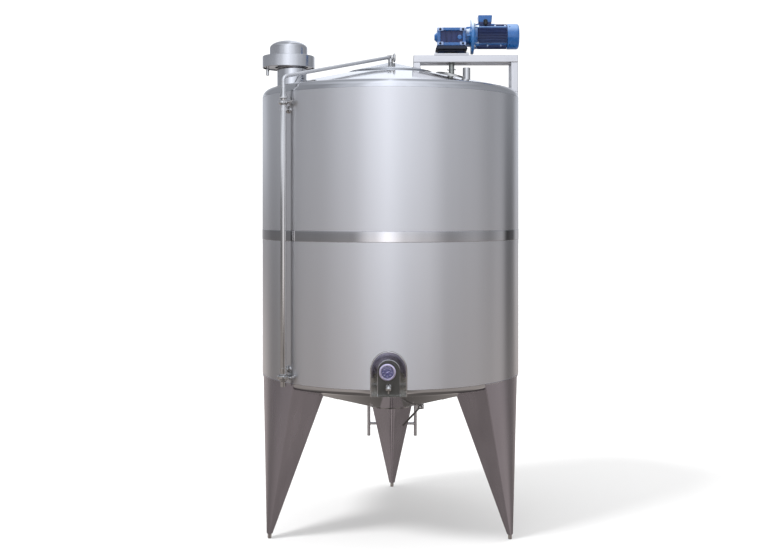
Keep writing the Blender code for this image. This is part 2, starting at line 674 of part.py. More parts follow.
def riser():
    """Cleaning riser, its clamps and stand-offs, and the pipe over the roof."""
    x, y = RISER
    out = Vector((x, y, 0)).normalized()
    turned("riser_ferrule", [
        (0.0, FERRULE_TOP), (FERRULE_LIP, FERRULE_TOP), (FERRULE_LIP, FERRULE_TOP - 0.0055),
        (RISER_RADIUS, FERRULE_TOP - 0.0115), (RISER_RADIUS, FERRULE_LOW), (0.0, FERRULE_LOW),
    ], pipe, sides=24, centre=(x, y, 0))
    middle = FERRULE_TOP + SEAT + LOW_CLAMP_HALF
    waist = (FERRULE_LIP + LOW_CLAMP_RADIUS) / 2
    turned("riser_clamp_low", [
        (0.0, middle + LOW_CLAMP_HALF), (FERRULE_LIP, middle + LOW_CLAMP_HALF), (waist, middle + 0.009),
        (LOW_CLAMP_RADIUS, middle), (waist, middle - 0.009),
        (FERRULE_LIP, middle - LOW_CLAMP_HALF), (0.0, middle - LOW_CLAMP_HALF),
    ], pipe, sides=24, centre=(x, y, 0))
    rod("cip_riser", (x, y, RISER_LOW), (x, y, RISER_HIGH), RISER_RADIUS, pipe)
    low = RISER_HIGH + SEAT
    high = low + 2 * HIGH_CLAMP_HALF
    turned("riser_clamp_high", [
        (0.0, high), (FERRULE_LIP, high), (HIGH_CLAMP_RADIUS, high - 0.007),
        (HIGH_CLAMP_RADIUS, low + 0.007), (FERRULE_LIP, low), (0.0, low),
    ], pipe, sides=24, centre=(x, y, 0))
    foot = high + SEAT
    turned("riser_reducer", [
        (0.0, REDUCER_TOP), (REDUCER_NECK, REDUCER_TOP), (REDUCER_NECK, REDUCER_TOP - 0.023),
        (0.023, REDUCER_TOP - 0.053), (REDUCER_RING, REDUCER_TOP - 0.057),
        (REDUCER_RING, REDUCER_TOP - 0.067), (RISER_RADIUS, REDUCER_TOP - 0.071),
        (RISER_RADIUS, foot), (0.0, foot),
    ], pipe, sides=24, centre=(x, y, 0))

    top = Vector((x, y, PIPE_ELBOW_Z))
    tee = Vector((0.0, 0.0, SPRAY_TEE_Z))
    along = (tee - top).normalized()
    start_bend = top - Vector((0, 0, PIPE_BEND))
    end_bend = top + along * PIPE_BEND
    points = [Vector((x, y, REDUCER_TOP + SEAT)), start_bend]
    for k in range(1, 5):
        t = k / 5
        points.append(start_bend * (1 - t) ** 2 + top * 2 * t * (1 - t) + end_bend * t ** 2)
    points.append(end_bend)
    pipe_gap = SPRAY_TEE_RADIUS + 0.004
    points.append(tee - along * pipe_gap)
    curve = bpy.data.curves.new("cip_roof_pipe", "CURVE")
    curve.dimensions = "3D"
    curve.bevel_depth = PIPE_RADIUS
    curve.bevel_resolution = 4
    curve.use_fill_caps = True
    spline = curve.splines.new("POLY")
    spline.points.add(len(points) - 1)
    for point, place_at in zip(spline.points, points):
        point.co = (*place_at, 1.0)
    curve.materials.append(pipe)
    run = bpy.data.objects.new("cip_roof_pipe", curve)
    parts.objects.link(run)

    branch_z = SPRAY_TEE_Z - 0.002
    tee_body = rod("spray_tee", (0, 0, APEX_Z - 0.02), (0, 0, SPRAY_TEE_Z + SPRAY_TEE_RISE),
                   SPRAY_TEE_RADIUS, pipe)
    socket = rod("tee_socket", tee - along * SOCKET_LENGTH, tee, SOCKET_RADIUS, hidden=True)
    branch = rod("tee_branch", (0, 0, branch_z), (BRANCH_LENGTH, 0, branch_z), BRANCH_RADIUS,
                 hidden=True)
    unite(tee_body, socket, branch)
    pipe_room = rod("pipe_room", tee - along * 0.06, tee - along * (pipe_gap - SEAT), BRANCH_RADIUS,
                    hidden=True)
    cut(tee_body, crown_cutter, pipe_room)
    cap_start = BRANCH_LENGTH + SEAT
    rod("spray_tee_cap", (cap_start, 0, branch_z), (cap_start + CAP_THICKNESS, 0, branch_z),
        CAP_RADIUS, pipe, sides=24)

    pipe_shape = rod("riser_shape", (x, y, FERRULE_LOW), (x, y, REDUCER_TOP), RISER_RADIUS + SEAT,
                     hidden=True)
    for name, height in BRACKET_HEIGHTS.items():
        foot = out * (SHELL_RADIUS - 0.02)
        tip = Vector((x, y, 0))
        rise = Vector((0, 0, height))
        bracket = rod(name, foot + rise, tip + rise, BRACKET_RADIUS, pipe, sides=12)
        flange = rod(name + "_foot", foot + rise, out * (SHELL_RADIUS + 0.010) + rise,
                     BRACKET_FOOT, hidden=True, sides=16)
        unite(bracket, flange)
        cut(bracket, wall_cutter, pipe_shape)


def agitator_frame():
    """Two beams on four posts, and the plate that carries the gearbox."""
    low = FRAME_TOP - FRAME_TUBE
    for side, sign in (("front", -1), ("rear", 1)):
        outer = sign * FRAME_HALF_DEPTH
        inner = sign * (FRAME_HALF_DEPTH - FRAME_TUBE)
        near, far = sorted((outer, inner))
        box(f"frame_beam_{side}", (FRAME_LEFT, near, low), (FRAME_RIGHT, far, FRAME_TOP), brushed)
        left = box(f"frame_post_left_{side}", (FRAME_LEFT, near, LEFT_POST_LOW),
                   (FRAME_LEFT + FRAME_TUBE, far, low - SEAT), brushed)
        cut(left, crown_cutter)
        right = box(f"frame_post_right_{side}", (FRAME_RIGHT - FRAME_TUBE, near, RIGHT_POST_LOW),
                    (FRAME_RIGHT, far, low - SEAT), brushed)
        cut(right, roof_cutter)
    inner = FRAME_HALF_DEPTH - FRAME_TUBE - SEAT
    box("frame_tie_left", (FRAME_LEFT, -inner, low), (FRAME_LEFT + FRAME_TUBE, inner, FRAME_TOP),
        brushed)
    box("frame_tie_right", (FRAME_RIGHT - FRAME_TUBE, -inner, low), (FRAME_RIGHT, inner, FRAME_TOP),
        brushed)
    plate = box("frame_plate", (GEARBOX_LEFT - PLATE_MARGIN, -FRAME_HALF_DEPTH, FRAME_TOP + SEAT),
                (GEARBOX_RIGHT + PLATE_MARGIN, FRAME_HALF_DEPTH, FRAME_TOP + FRAME_PLATE), brushed)
    cut(plate, shaft_bore)


def agitator():
    """Shaft and impeller, one moving piece, in the seal housing on its roof pad."""
    tilt = math.atan(ROOF_SLOPE)
    on_roof = Vector((AGITATOR_X, 0, roof_z(AGITATOR_X)))
    normal = Vector((math.sin(tilt), 0, math.cos(tilt)))
    housing = rod("seal_housing", on_roof - normal * 0.03, on_roof + normal * PAD_THICKNESS,
                  PAD_RADIUS, polished, sides=36)
    barrel = turned("seal_barrel", [
        (0.0, SEAL_TOP), (SEAL_RADIUS - 0.004, SEAL_TOP), (SEAL_RADIUS, SEAL_TOP - 0.004),
        (SEAL_RADIUS, 3.110), (0.0, 3.110),
    ], sides=24, hidden=True, centre=(AGITATOR_X, 0, 0))
    unite(housing, barrel)
    cut(housing, roof_cutter, shaft_bore)

    top = FRAME_TOP + FRAME_PLATE - SEAT
    shaft = rod("agitator_shaft", (AGITATOR_X, 0, SHAFT_LOW), (AGITATOR_X, 0, top), SHAFT_RADIUS, pipe)
    middle = Vector((AGITATOR_X, 0, SHAFT_LOW + BLADE_RISE))
    reach = Vector((0, 0, BLADE_HALF_WIDTH + 0.007))
    hub = rod("impeller_hub", middle - reach, middle + reach, IMPELLER_HUB, hidden=True)
    unite(shaft, hub)
    pitch = Matrix.Rotation(math.radians(BLADE_PITCH), 4, "X")
    for k in range(3):
        blade = box(f"impeller_blade_{k}", (0.0, -BLADE_HALF_SHEET, -BLADE_HALF_WIDTH),
                    (IMPELLER_RADIUS, BLADE_HALF_SHEET, BLADE_HALF_WIDTH), hidden=True)
        turn = Matrix.Rotation(math.radians(120 * k), 4, "Z") @ pitch
        blade.data.transform(Matrix.Translation(middle) @ turn)
        unite(shaft, blade)

    stub = turned("roof_nozzle", [
        (NOZZLE_RADIUS, NOZZLE_TOP), (NOZZLE_RADIUS, NOZZLE_LOW), (NOZZLE_BORE, NOZZLE_LOW),
        (NOZZLE_BORE, NOZZLE_TOP),
    ], pipe, sides=24, closed=True, centre=(*NOZZLE, 0))
    pad_room = rod("pad_room", on_roof - normal * 0.05, on_roof + normal * (PAD_THICKNESS + SEAT),
                   PAD_RADIUS + SEAT, hidden=True, sides=36)
    cut(stub, roof_cutter, pad_room)


def drive():
    """Gearbox on its black base, and the flanged motor."""
    base_low = FRAME_TOP + FRAME_PLATE + SEAT
    base_high = base_low + BASE_HEIGHT
    x = (GEARBOX_LEFT + GEARBOX_RIGHT) / 2
    half = (GEARBOX_RIGHT - GEARBOX_LEFT) / 2
    depth = GEARBOX_HALF_DEPTH
    rings = []
    for height, pinch in ((0.0, 0.0), (0.014, 0.0), (0.026, BASE_WAIST), (0.038, BASE_WAIST),
                          (0.049, 0.0), (BASE_HEIGHT, 0.0)):
        across, deep = half - pinch, depth - pinch
        z = base_low + height
        rings.append([(x + across, deep, z), (x - across, deep, z),
                      (x - across, -deep, z), (x + across, -deep, z)])
    loft("gearbox_base", rings, black)
    gearbox = box("gearbox", (GEARBOX_LEFT, -depth, base_high + SEAT),
                  (GEARBOX_RIGHT, depth, GEARBOX_TOP), blue)
    bevel(gearbox, GEARBOX_EDGE)
    along_x = (0, math.pi / 2, 0)
    turned("motor_flange", [
        (0.0, BODY_START), (BELL_RADIUS, BODY_START), (BELL_RADIUS + 0.010, FLANGE_END + 0.004),
        (MOTOR_FLANGE_RADIUS, FLANGE_END), (MOTOR_FLANGE_RADIUS, FLANGE_START),
        (MOTOR_NECK, FLANGE_START - 0.004), (MOTOR_NECK, SEAT), (0.0, SEAT),
    ], blue, sides=36, centre=(GEARBOX_RIGHT, 0, MOTOR_Z), rotation=along_x)
    turned("motor_body", [
        (0.0, BODY_END), (MOTOR_RADIUS, BODY_END), (MOTOR_RADIUS, BODY_START + SEAT),
        (0.0, BODY_START + SEAT),
    ], blue, sides=36, centre=(GEARBOX_RIGHT, 0, MOTOR_Z), rotation=along_x)
    corner = arc((FAN_COVER_RADIUS - FAN_COVER_ROUND, FAN_COVER_END - FAN_COVER_ROUND),
                 FAN_COVER_ROUND, 90.0, 0.0, 3)
    turned("fan_cover", [(0.0, FAN_COVER_END)] + corner
           + [(FAN_COVER_RADIUS, BODY_END + SEAT), (0.0, BODY_END + SEAT)],
           blue, sides=36, centre=(GEARBOX_RIGHT, 0, MOTOR_Z), rotation=along_x)
    rings = []
    for z, inset in ((TERMINAL_LOW, TERMINAL_TAPER), (TERMINAL_TOP, 0.0)):
        left, right = TERMINAL_LEFT + inset, TERMINAL_RIGHT - inset
        deep = TERMINAL_HALF_DEPTH - inset
        rings.append([(left, -deep, z), (right, -deep, z), (right, deep, z), (left, deep, z)])
    terminal = loft("terminal_box", rings, blue)
    motor_room = rod("motor_room", (TERMINAL_LEFT - 0.02, 0, MOTOR_Z), (TERMINAL_RIGHT + 0.02, 0, MOTOR_Z),
                     MOTOR_RADIUS + SEAT, hidden=True, sides=36)
    cut(terminal, motor_room)


def outlet():
    """Outlet valve under the cone with its swinging lever."""
    x, y = VALVE
    sx, sy, sz = (side / 2 for side in VALVE_SIZE)
    body = box("outlet_valve", (x - sx, y - sy, VALVE_Z - sz), (x + sx, y + sy, VALVE_Z + sz), pipe)
    bevel(body, 0.006)
    stub = rod("valve_stub", (x, y, VALVE_Z), (x, y, VALVE_Z + 0.118), VALVE_STUB, hidden=True)
    tail = rod("valve_tail", (x, y, VALVE_LOW), (x, y, VALVE_Z), VALVE_TAIL, hidden=True)
    stem = rod("valve_stem", (x, y, HUB_Z), (x, y - sy - 0.018, HUB_Z), STEM_RADIUS, hidden=True)
    unite(body, stub, tail, stem)
    cut(body, bottom_cutter)

    hub_front = y - sy - LEVER_CLEAR - LEVER_THICKNESS
    lever = rod("valve_lever", (0, 0, 0), (0, LEVER_THICKNESS, 0), 2 * STEM_RADIUS, pipe)
    half = LEVER_WIDTH / 2
    bar = box("lever_bar", (0.010, 0.001, -half), (LEVER_LENGTH, LEVER_THICKNESS - 0.001, half),
              hidden=True)
    eye = rod("lever_eye", (0, -0.01, 0), (0, 0.02, 0), STEM_RADIUS + 0.0004, hidden=True)
    swing = Matrix.Rotation(math.radians(180 - LEVER_ANGLE), 4, "Y")
    bar.data.transform(swing)
    unite(lever, bar)
    cut(lever, eye)
    for piece in (lever, bar, eye):
        piece.location = (x, hub_front, HUB_Z)


def ladder():
    """Ladder of two stringers behind the tank, with rungs and stand-offs."""
    def joined(name, rods, hidden=True):
        bm = bmesh.new()
        for start, end, radius in rods:
            piece = rod("piece", start, end, radius, sides=12, hidden=True)
            bm.from_mesh(piece.data)
            bpy.data.objects.remove(piece, do_unlink=True)
        return place(name, bm, brushed, hidden)

    sides = (-LADDER_HALF, LADDER_HALF)
    stringers = joined("ladder", [
        ((x, LADDER_Y, LADDER_LOW), (x, LADDER_Y, LADDER_HIGH), STRINGER_RADIUS) for x in sides
    ], hidden=False)
    rungs = joined("ladder_rungs", [
        ((-LADDER_HALF, LADDER_Y, z), (LADDER_HALF, LADDER_Y, z), RUNG_RADIUS)
        for z in (RUNG_FIRST + RUNG_PITCH * k for k in range(RUNG_COUNT))
    ])
    standoffs = joined("ladder_standoffs", [
        ((x, STANDOFF_ROOT, z), (x, LADDER_Y, z), STANDOFF_RADIUS)
        for x in sides for z in STANDOFF_HEIGHTS
    ])
    unite(stringers, rungs, standoffs)
    cut(stringers, wall_cutter)


vessel()
alcove()
legs()
breather()
riser()
agitator_frame()
agitator()
drive()
outlet()
ladder()
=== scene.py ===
"""Looks of a vertical storage tank: finishes, fine forms, studio and camera.

Metres, +Z up. The vessel's axis is X = 0, Y = 0, and the front faces -Y.
"""
import math

import bmesh
import bpy
from mathutils import Matrix, Vector


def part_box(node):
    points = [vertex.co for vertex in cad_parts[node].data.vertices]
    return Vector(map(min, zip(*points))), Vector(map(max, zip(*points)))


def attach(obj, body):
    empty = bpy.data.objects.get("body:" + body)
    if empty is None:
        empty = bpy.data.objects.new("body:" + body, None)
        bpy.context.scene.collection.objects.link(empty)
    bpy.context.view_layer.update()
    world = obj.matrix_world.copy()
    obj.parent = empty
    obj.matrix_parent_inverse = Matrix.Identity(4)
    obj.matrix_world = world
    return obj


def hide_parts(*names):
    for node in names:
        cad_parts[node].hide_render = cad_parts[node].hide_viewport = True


bl_info = {
    "name": "Vertical storage tank",
    "version": (1, 0, 0),
    "blender": (4, 5, 0),
    "location": "3D View > Sidebar > Tank",
    "description": "Builds the finished surfaces and fine parts of a storage tank",
    "category": "Add Mesh",
}

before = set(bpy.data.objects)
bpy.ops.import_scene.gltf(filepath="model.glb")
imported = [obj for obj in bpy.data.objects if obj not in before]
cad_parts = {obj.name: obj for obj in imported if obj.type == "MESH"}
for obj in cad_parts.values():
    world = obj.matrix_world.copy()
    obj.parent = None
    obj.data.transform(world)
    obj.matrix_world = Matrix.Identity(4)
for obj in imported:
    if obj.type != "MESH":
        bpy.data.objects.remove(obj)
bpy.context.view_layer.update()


def low(node):
    """Lowest corner of a frame node."""
    return Vector(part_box(node)[0])


def high(node):
    """Highest corner of a frame node."""
    return Vector(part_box(node)[1])


def middle(node):
    """Centre of a frame node's box."""
    return (low(node) + high(node)) / 2


def linear(code):
    """Linear colour of an sRGB hex value."""
    parts = [int(code[i:i + 2], 16) / 255 for i in (1, 3, 5)]
    return tuple(c / 12.92 if c <= 0.04045 else ((c + 0.055) / 1.055) ** 2.4 for c in parts)


# Vessel sizes, read from the frame
SEAM = 0.0003
RADIUS = high("mid_band").x
WALL_LOW = low("shell_lower_left").z
BAND_LOW = low("mid_band").z
BAND_HIGH = high("mid_band").z
WALL_HIGH = low("top_knuckle").z
EDGE_Z = high("top_knuckle").z
EDGE_RADIUS = high("roof_cone").x + SEAM
APEX_Z = high("roof_cone").z
ROOF_SLOPE = (APEX_Z - EDGE_Z) / EDGE_RADIUS
CROWN_RADIUS = high("roof_crown").x
CROWN_APEX = high("roof_crown").z
CROWN_LIFT = 0.008
# The shaft's middle; its box leans to one side, because its impeller has three blades
AGITATOR_X = 0.432
SHAFT_RADIUS = 0.020
SHAFT_BORE = 0.0206
NOZZLE_BORE = 0.023
ROOF_HOLE = 0.030
VENT_SHEET = 0.008
LIP_RADIUS = high("bottom_cone").x + SEAM
LIP_Z = low("bottom_knuckle").z
PLATE_RADIUS = high("outlet_plate").x
PLATE_HIGH = high("outlet_plate").z + SEAM
PLATE_LOW = low("outlet_plate").z
BOTTOM_SLOPE = (LIP_Z - PLATE_HIGH) / (LIP_RADIUS - PLATE_RADIUS)


def roof_z(radius):
    """Height of the roof cone at a distance from the axis."""
    return APEX_Z - ROOF_SLOPE * radius


# Settings that a user would change
class TankShapeSettings(bpy.types.PropertyGroup):
    """Sizes of the fine forms."""
    round_sides: bpy.props.IntProperty(
        name="Round sides", description="Facets around the vessel", default=256, min=64, max=512)
    wall: bpy.props.FloatProperty(
        name="Wall", description="Thickness of the insulated wall", default=0.060, unit="LENGTH")
    top_knuckle: bpy.props.FloatProperty(
        name="Top knuckle", description="Radius of the roof's edge", default=0.058, unit="LENGTH")
    bottom_knuckle: bpy.props.FloatProperty(
        name="Bottom knuckle", description="Radius of the bottom's edge", default=0.046, unit="LENGTH")
    weld: bpy.props.FloatProperty(
        name="Weld", description="Width of a dressed weld bead", default=0.004, unit="LENGTH")


class TankFinishSettings(bpy.types.PropertyGroup):
    """Colours of the finishes."""
    satin: bpy.props.FloatVectorProperty(
        name="Satin sheet", description="Satin stainless cladding", subtype="COLOR", size=3,
        min=0, max=1, default=linear("#E3E3E5"))
    mirror: bpy.props.FloatVectorProperty(
        name="Polished sheet", description="Mirror-polished stainless", subtype="COLOR", size=3,
        min=0, max=1, default=linear("#D0D0D2"))
    tube: bpy.props.FloatVectorProperty(
        name="Tube", description="Bright stainless tube and fittings", subtype="COLOR", size=3,
        min=0, max=1, default=linear("#C8C7C6"))
    legs: bpy.props.FloatVectorProperty(
        name="Legs", description="Brushed stainless of legs and frame", subtype="COLOR", size=3,
        min=0, max=1, default=linear("#BDB8C0"))
    enamel: bpy.props.FloatVectorProperty(
        name="Drive", description="Blue enamel of the drive", subtype="COLOR", size=3,
        min=0, max=1, default=linear("#105699"))
    dial: bpy.props.FloatVectorProperty(
        name="Dial", description="Blue dial of the thermometer", subtype="COLOR", size=3,
        min=0, max=1, default=linear("#1F1572"))


class TankStudioSettings(bpy.types.PropertyGroup):
    """Camera and light."""
    distance: bpy.props.FloatProperty(
        name="Distance", description="Camera to the vessel's axis", default=7.91, unit="LENGTH")
    height: bpy.props.FloatProperty(
        name="Height", description="Camera above the floor", default=2.21, unit="LENGTH")
    side: bpy.props.FloatProperty(
        name="Side step", description="Camera to the right of the axis", default=0.10, unit="LENGTH")
    lens: bpy.props.FloatProperty(
        name="Lens", description="Focal length on a 36 mm sensor", default=51.5, subtype="DISTANCE_CAMERA")
    sun: bpy.props.FloatProperty(
        name="Key light", description="Strength of the key light", default=1.8)
    tent: bpy.props.FloatProperty(
        name="Tent", description="Brightness of the reflected light tent", default=1.0)


# Nodes and materials
def add(tree, kind, settings=None, values=None, links=None):
    """Adds a node with its settings, socket values and incoming links."""
    node = tree.nodes.new(kind)
    for key, value in (settings or {}).items():
        setattr(node, key, value)
    for key, value in (values or {}).items():
        node.inputs[key].default_value = value
    for key, source in (links or {}).items():
        tree.links.new(source, node.inputs[key])
    return node


def new_material(name):
    """A node material with an empty Principled shader, its tree and shader."""
    made = bpy.data.materials.new(name)
    made.use_nodes = True
    return made, made.node_tree, made.node_tree.nodes["Principled BSDF"]


def stretched_noise(tree, scale, detail=3.0):
    """Noise on Object coordinates, with its own scale along each axis, per metre."""
    spot = add(tree, "ShaderNodeTexCoord")
    place = add(tree, "ShaderNodeMapping", values={"Scale": scale},
                links={"Vector": spot.outputs["Object"]})
    return add(tree, "ShaderNodeTexNoise", values={"Scale": 1.0, "Detail": detail, "Roughness": 0.55},
               links={"Vector": place.outputs["Vector"]}).outputs["Fac"]


def ranged(tree, source, least, most):
    """A noise value spread over a range, its middle part used in full."""
    return add(tree, "ShaderNodeMapRange",
               values={"From Min": 0.3, "From Max": 0.7, "To Min": least, "To Max": most},
               links={"Value": source}).outputs["Result"]


def tinted(tree, source, colour, darker):
    """A colour that noise takes down by a share."""
    dark = tuple(c * (1.0 - darker) for c in colour)
    return add(tree, "ShaderNodeMix", {"data_type": "RGBA"},
               links={"Factor": source},
               values={6: (*dark, 1.0), 7: (*colour, 1.0)}).outputs[2]


def bumped(tree, source, strength, distance):
    """A bump from a noise value; distance is the real height in metres."""
    return add(tree, "ShaderNodeBump", values={"Strength": strength, "Distance": distance},
               links={"Height": source}).outputs["Normal"]


def steel(name, colour, roughness, spread, grain, cloud, darker=0.06, bump=0.25, anisotropy=0.0):
    """Stainless steel with grain lines and cloudy handling marks, scales per metre."""
    made, tree, shader = new_material(name)
    lines = stretched_noise(tree, grain)
    clouds = stretched_noise(tree, cloud, 2.0)
    links = {
        "Base Color": tinted(tree, ranged(tree, clouds, 0.0, 1.0), colour, darker),
        "Roughness": ranged(tree, clouds, roughness - spread, roughness + spread),
        "Normal": bumped(tree, lines, bump, 0.0002),
    }
    shader.inputs["Metallic"].default_value = 1.0
    if anisotropy:
        shader.inputs["Anisotropic"].default_value = anisotropy
        shader.inputs["Anisotropic Rotation"].default_value = 0.25
        around = add(tree, "ShaderNodeTangent", {"direction_type": "RADIAL", "axis": "Z"})
        links["Tangent"] = around.outputs["Tangent"]
    for key, source in links.items():
        tree.links.new(source, shader.inputs[key])
    return made


def satin_cladding():
    """Type 304 sheet ground round the vessel with 240 grit: reflections smear up and down."""
    # Grit lines of 0.1 mm are too fine to show, so they are drawn 6 mm apart and faint
    return steel("satin_stainless_cladding", finish().satin, 0.33, 0.02, (0.6, 0.6, 160.0),
                 (5.0, 5.0, 0.35), darker=0.05, bump=0.02, anisotropy=0.85)


def mirror_sheet():
    """The same sheet buffed bright: a clear reflection with faint buffing waves."""
    return steel("mirror_polished_stainless", finish().mirror, 0.07, 0.02, (2.0, 2.0, 14.0),
                 (3.0, 3.0, 3.0), darker=0.04, bump=0.05)


def rolled_sheet():
    """Cold rolled stainless as it comes from the mill, greyer than the polished cone round it."""
    return steel("cold_rolled_stainless", linear("#C6C8CC"), 0.20, 0.03, (2.0, 2.0, 14.0),
                 (3.0, 3.0, 3.0), darker=0.05, bump=0.03)


def bright_tube():
    """Drawn and polished tube: fine lines along its length, a tight highlight."""
    return steel("bright_drawn_stainless_tube", finish().tube, 0.10, 0.03, (60.0, 60.0, 8.0),
                 (12.0, 12.0, 6.0), bump=0.03)


def brushed_leg_sheet():
    """Folded 3 mm sheet, brushed along the leg: a soft, slightly brown reflection."""
    # Brush lines of 0.2 mm are drawn 5 mm apart so that they show
    return steel("brushed_folded_stainless", finish().legs, 0.25, 0.04, (190.0, 190.0, 4.0),
                 (6.0, 6.0, 2.0), darker=0.10, bump=0.05)


def satin_cap():
    """Spun sheet, ground on the lathe: reflections smear up and down, less than on the cladding."""
    return steel("satin_spun_stainless", finish().mirror, 0.20, 0.02, (1.5, 1.5, 220.0), (8.0, 8.0, 8.0),
                 darker=0.05, bump=0.02, anisotropy=0.3)


def pickled_tube():
    """Thin tube, pickled to a dull white: it stays pale whatever stands round it."""
    return steel("pickled_stainless_tube", linear("#E9E9EA"), 0.42, 0.05, (60.0, 60.0, 8.0),
                 (12.0, 12.0, 6.0), darker=0.04, bump=0.03)


def mill_finish_sheet():
    """Dull sheet at the alcove's back, its dark grey colour painted shade and painted dark reflection of the
    recess, with pickling clouds.
    """
    return steel("mill_finish_stainless", linear("#6B6A66"), 0.42, 0.05, (4.0, 4.0, 90.0),
                 (14.0, 14.0, 6.0), darker=0.25, bump=0.05)


def half_polished_sheet():
    """Sheet polished by hand in the alcove's flared walls: a blurred, greyish reflection."""
    return steel("half_polished_stainless", linear("#BDBCB8"), 0.22, 0.04, (4.0, 4.0, 90.0),
                 (14.0, 14.0, 6.0), darker=0.12, bump=0.05)


def ground_shaft():
    """Ground shaft steel, olive grey: darker than the sheet."""
    return steel("ground_shaft_steel", linear("#A2A49E"), 0.28, 0.04, (60.0, 60.0, 160.0),
                 (20.0, 20.0, 20.0), darker=0.15, bump=0.04)


def brushed_frame_tube():
    """Square and round tube, brushed and pickled pale: an even, light grey sheen."""
    # Brush lines of 0.2 mm are drawn 5 mm apart so that they show
    return steel("brushed_stainless_tube", linear("#D2D1D2"), 0.34, 0.04, (40.0, 200.0, 200.0),
                 (9.0, 9.0, 9.0), darker=0.05, bump=0.04)


def zinc_screw():
    """Zinc-plated steel fasteners: a bright, slightly cloudy metal."""
    return steel("zinc_plated_steel", linear("#C9CCD2"), 0.32, 0.05, (300.0, 300.0, 300.0),
                 (60.0, 60.0, 60.0), bump=0.05)


def dark_screw():
    """Blackened steel screws, and the painted shade inside a vent slot."""
    made, tree, shader = new_material("blackened_steel")
    spots = stretched_noise(tree, (80.0, 80.0, 80.0))
    shader.inputs["Metallic"].default_value = 0.6
    tree.links.new(tinted(tree, spots, linear("#1C2233"), 0.4), shader.inputs["Base Color"])
    tree.links.new(ranged(tree, spots, 0.40, 0.60), shader.inputs["Roughness"])
    return made


def enamel(name, colour, lit, roughness, peel=0.12, coat=0.2):
    """Sprayed enamel on a casting: orange peel, thinner in places, and a painted top light that turns it to
    its lit colour where it looks up.
    """
    made, tree, shader = new_material(name)
    # Orange peel of 2 mm; the casting's own texture under it is 40 mm
    peel_noise = stretched_noise(tree, (420.0, 420.0, 420.0), 2.0)
    cast = stretched_noise(tree, (24.0, 24.0, 24.0), 3.0)
    # Painted light: where a face looks up, the colour turns towards the lit colour.
    facing = add(tree, "ShaderNodeSeparateXYZ",
                 links={"Vector": add(tree, "ShaderNodeNewGeometry").outputs["Normal"]})
    upward = add(tree, "ShaderNodeMapRange", {"interpolation_type": "SMOOTHSTEP"},
                 values={"From Min": 0.15, "From Max": 0.80}, links={"Value": facing.outputs["Z"]})
    body = tinted(tree, ranged(tree, cast, 0.0, 1.0), colour, 0.22)
    faded = add(tree, "ShaderNodeMix", {"data_type": "RGBA"}, values={7: (*lit, 1.0)},
                links={"Factor": upward.outputs["Result"], 6: body})
    shader.inputs["IOR"].default_value = 1.5
    shader.inputs["Coat Weight"].default_value = coat
    shader.inputs["Coat Roughness"].default_value = 0.12
    tree.links.new(faded.outputs[2], shader.inputs["Base Color"])
    tree.links.new(ranged(tree, cast, roughness - 0.06, roughness + 0.08), shader.inputs["Roughness"])
    tree.links.new(bumped(tree, peel_noise, peel, 0.0003), shader.inputs["Normal"])
    return made


def blue_enamel():
    """Blue machine enamel of the gearbox, the motor's ribs and lid, and the hood."""
    # The lit colour is a painted top light.
    return enamel("blue_machine_enamel", finish().enamel, linear("#7D9CC9"), 0.24, coat=0.5)


def blue_enamel_deep():
    """A darker copy of the same enamel, painted shade where it stays shaded: between the fins, in the
    panels.
    """
    return enamel("blue_machine_enamel_thick", linear("#1D2C5E"), linear("#5F74A4"), 0.50, coat=0.0)


def blue_enamel_rubbed():
    """The same enamel on the flange's turned rim, with a painted highlight that turns it pale along its
    upper half.
    """
    return enamel("blue_machine_enamel_rubbed", linear("#2C6AAA"), linear("#DCE8F3"), 0.26, coat=0.4)


def machined_pad():
    """Pale pads with a lilac cast: a painted highlight, paler still where they look up."""
    return enamel("lacquered_milled_iron", linear("#8FA5CF"), linear("#C9DAEE"), 0.30)


def black_enamel():
    """Black enamel on the cast stand: dull, with a grainy casting under it."""
    # The lit colour is a painted top light.
    return enamel("black_enamel_casting", linear("#0A1428"), linear("#16233C"), 0.55, 0.3, coat=0.0)


def black_plastic():
    """Moulded nylon of the cable gland: matt black."""
    made, tree, shader = new_material("black_moulded_nylon")
    grain = stretched_noise(tree, (500.0, 500.0, 500.0))
    shader.inputs["IOR"].default_value = 1.53
    tree.links.new(tinted(tree, grain, linear("#1A1B1E"), 0.3), shader.inputs["Base Color"])
    tree.links.new(ranged(tree, grain, 0.45, 0.60), shader.inputs["Roughness"])
    return made


def bezel_ring():
    """Anodised ring of the thermometer: pale lilac metal with turned lines."""
    return steel("pale_anodised_aluminium", linear("#DDD6F2"), 0.30, 0.04, (30.0, 400.0, 30.0),
                 (40.0, 40.0, 40.0), darker=0.04, bump=0.03)


def dial_enamel():
    """Blue-violet printed dial, even and slightly glossy."""
    made, tree, shader = new_material("blue_violet_dial_enamel")
    ink = stretched_noise(tree, (120.0, 120.0, 120.0))
    printed = tinted(tree, ranged(tree, ink, 0.0, 1.0), finish().dial, 0.15)
    tree.links.new(printed, shader.inputs["Base Color"])
    tree.links.new(ranged(tree, ink, 0.30, 0.40), shader.inputs["Roughness"])
    return made


def white_print():
    """White screen-printed marks and pointer."""
    made, tree, shader = new_material("white_screen_print")
    ink = stretched_noise(tree, (300.0, 300.0, 300.0))
    tree.links.new(tinted(tree, ink, linear("#C9C3EC"), 0.08), shader.inputs["Base Color"])
    tree.links.new(ranged(tree, ink, 0.40, 0.55), shader.inputs["Roughness"])
    return made


def clear_glass():
    """Float glass over the dial: clear, with a faint gloss."""
    made, tree, shader = new_material("clear_float_glass")
    smear = stretched_noise(tree, (50.0, 50.0, 50.0))
    shader.inputs["IOR"].default_value = 1.5
    shader.inputs["Transmission Weight"].default_value = 1.0
    shader.inputs["Base Color"].default_value = (1.0, 1.0, 1.0, 1.0)
    tree.links.new(ranged(tree, smear, 0.0, 0.03), shader.inputs["Roughness"])
    return made


def finish():
    """The scene's finish settings."""
    return bpy.context.scene.tank_finish


def shape():
    """The scene's shape settings."""
    return bpy.context.scene.tank_shape


MATERIALS = {}


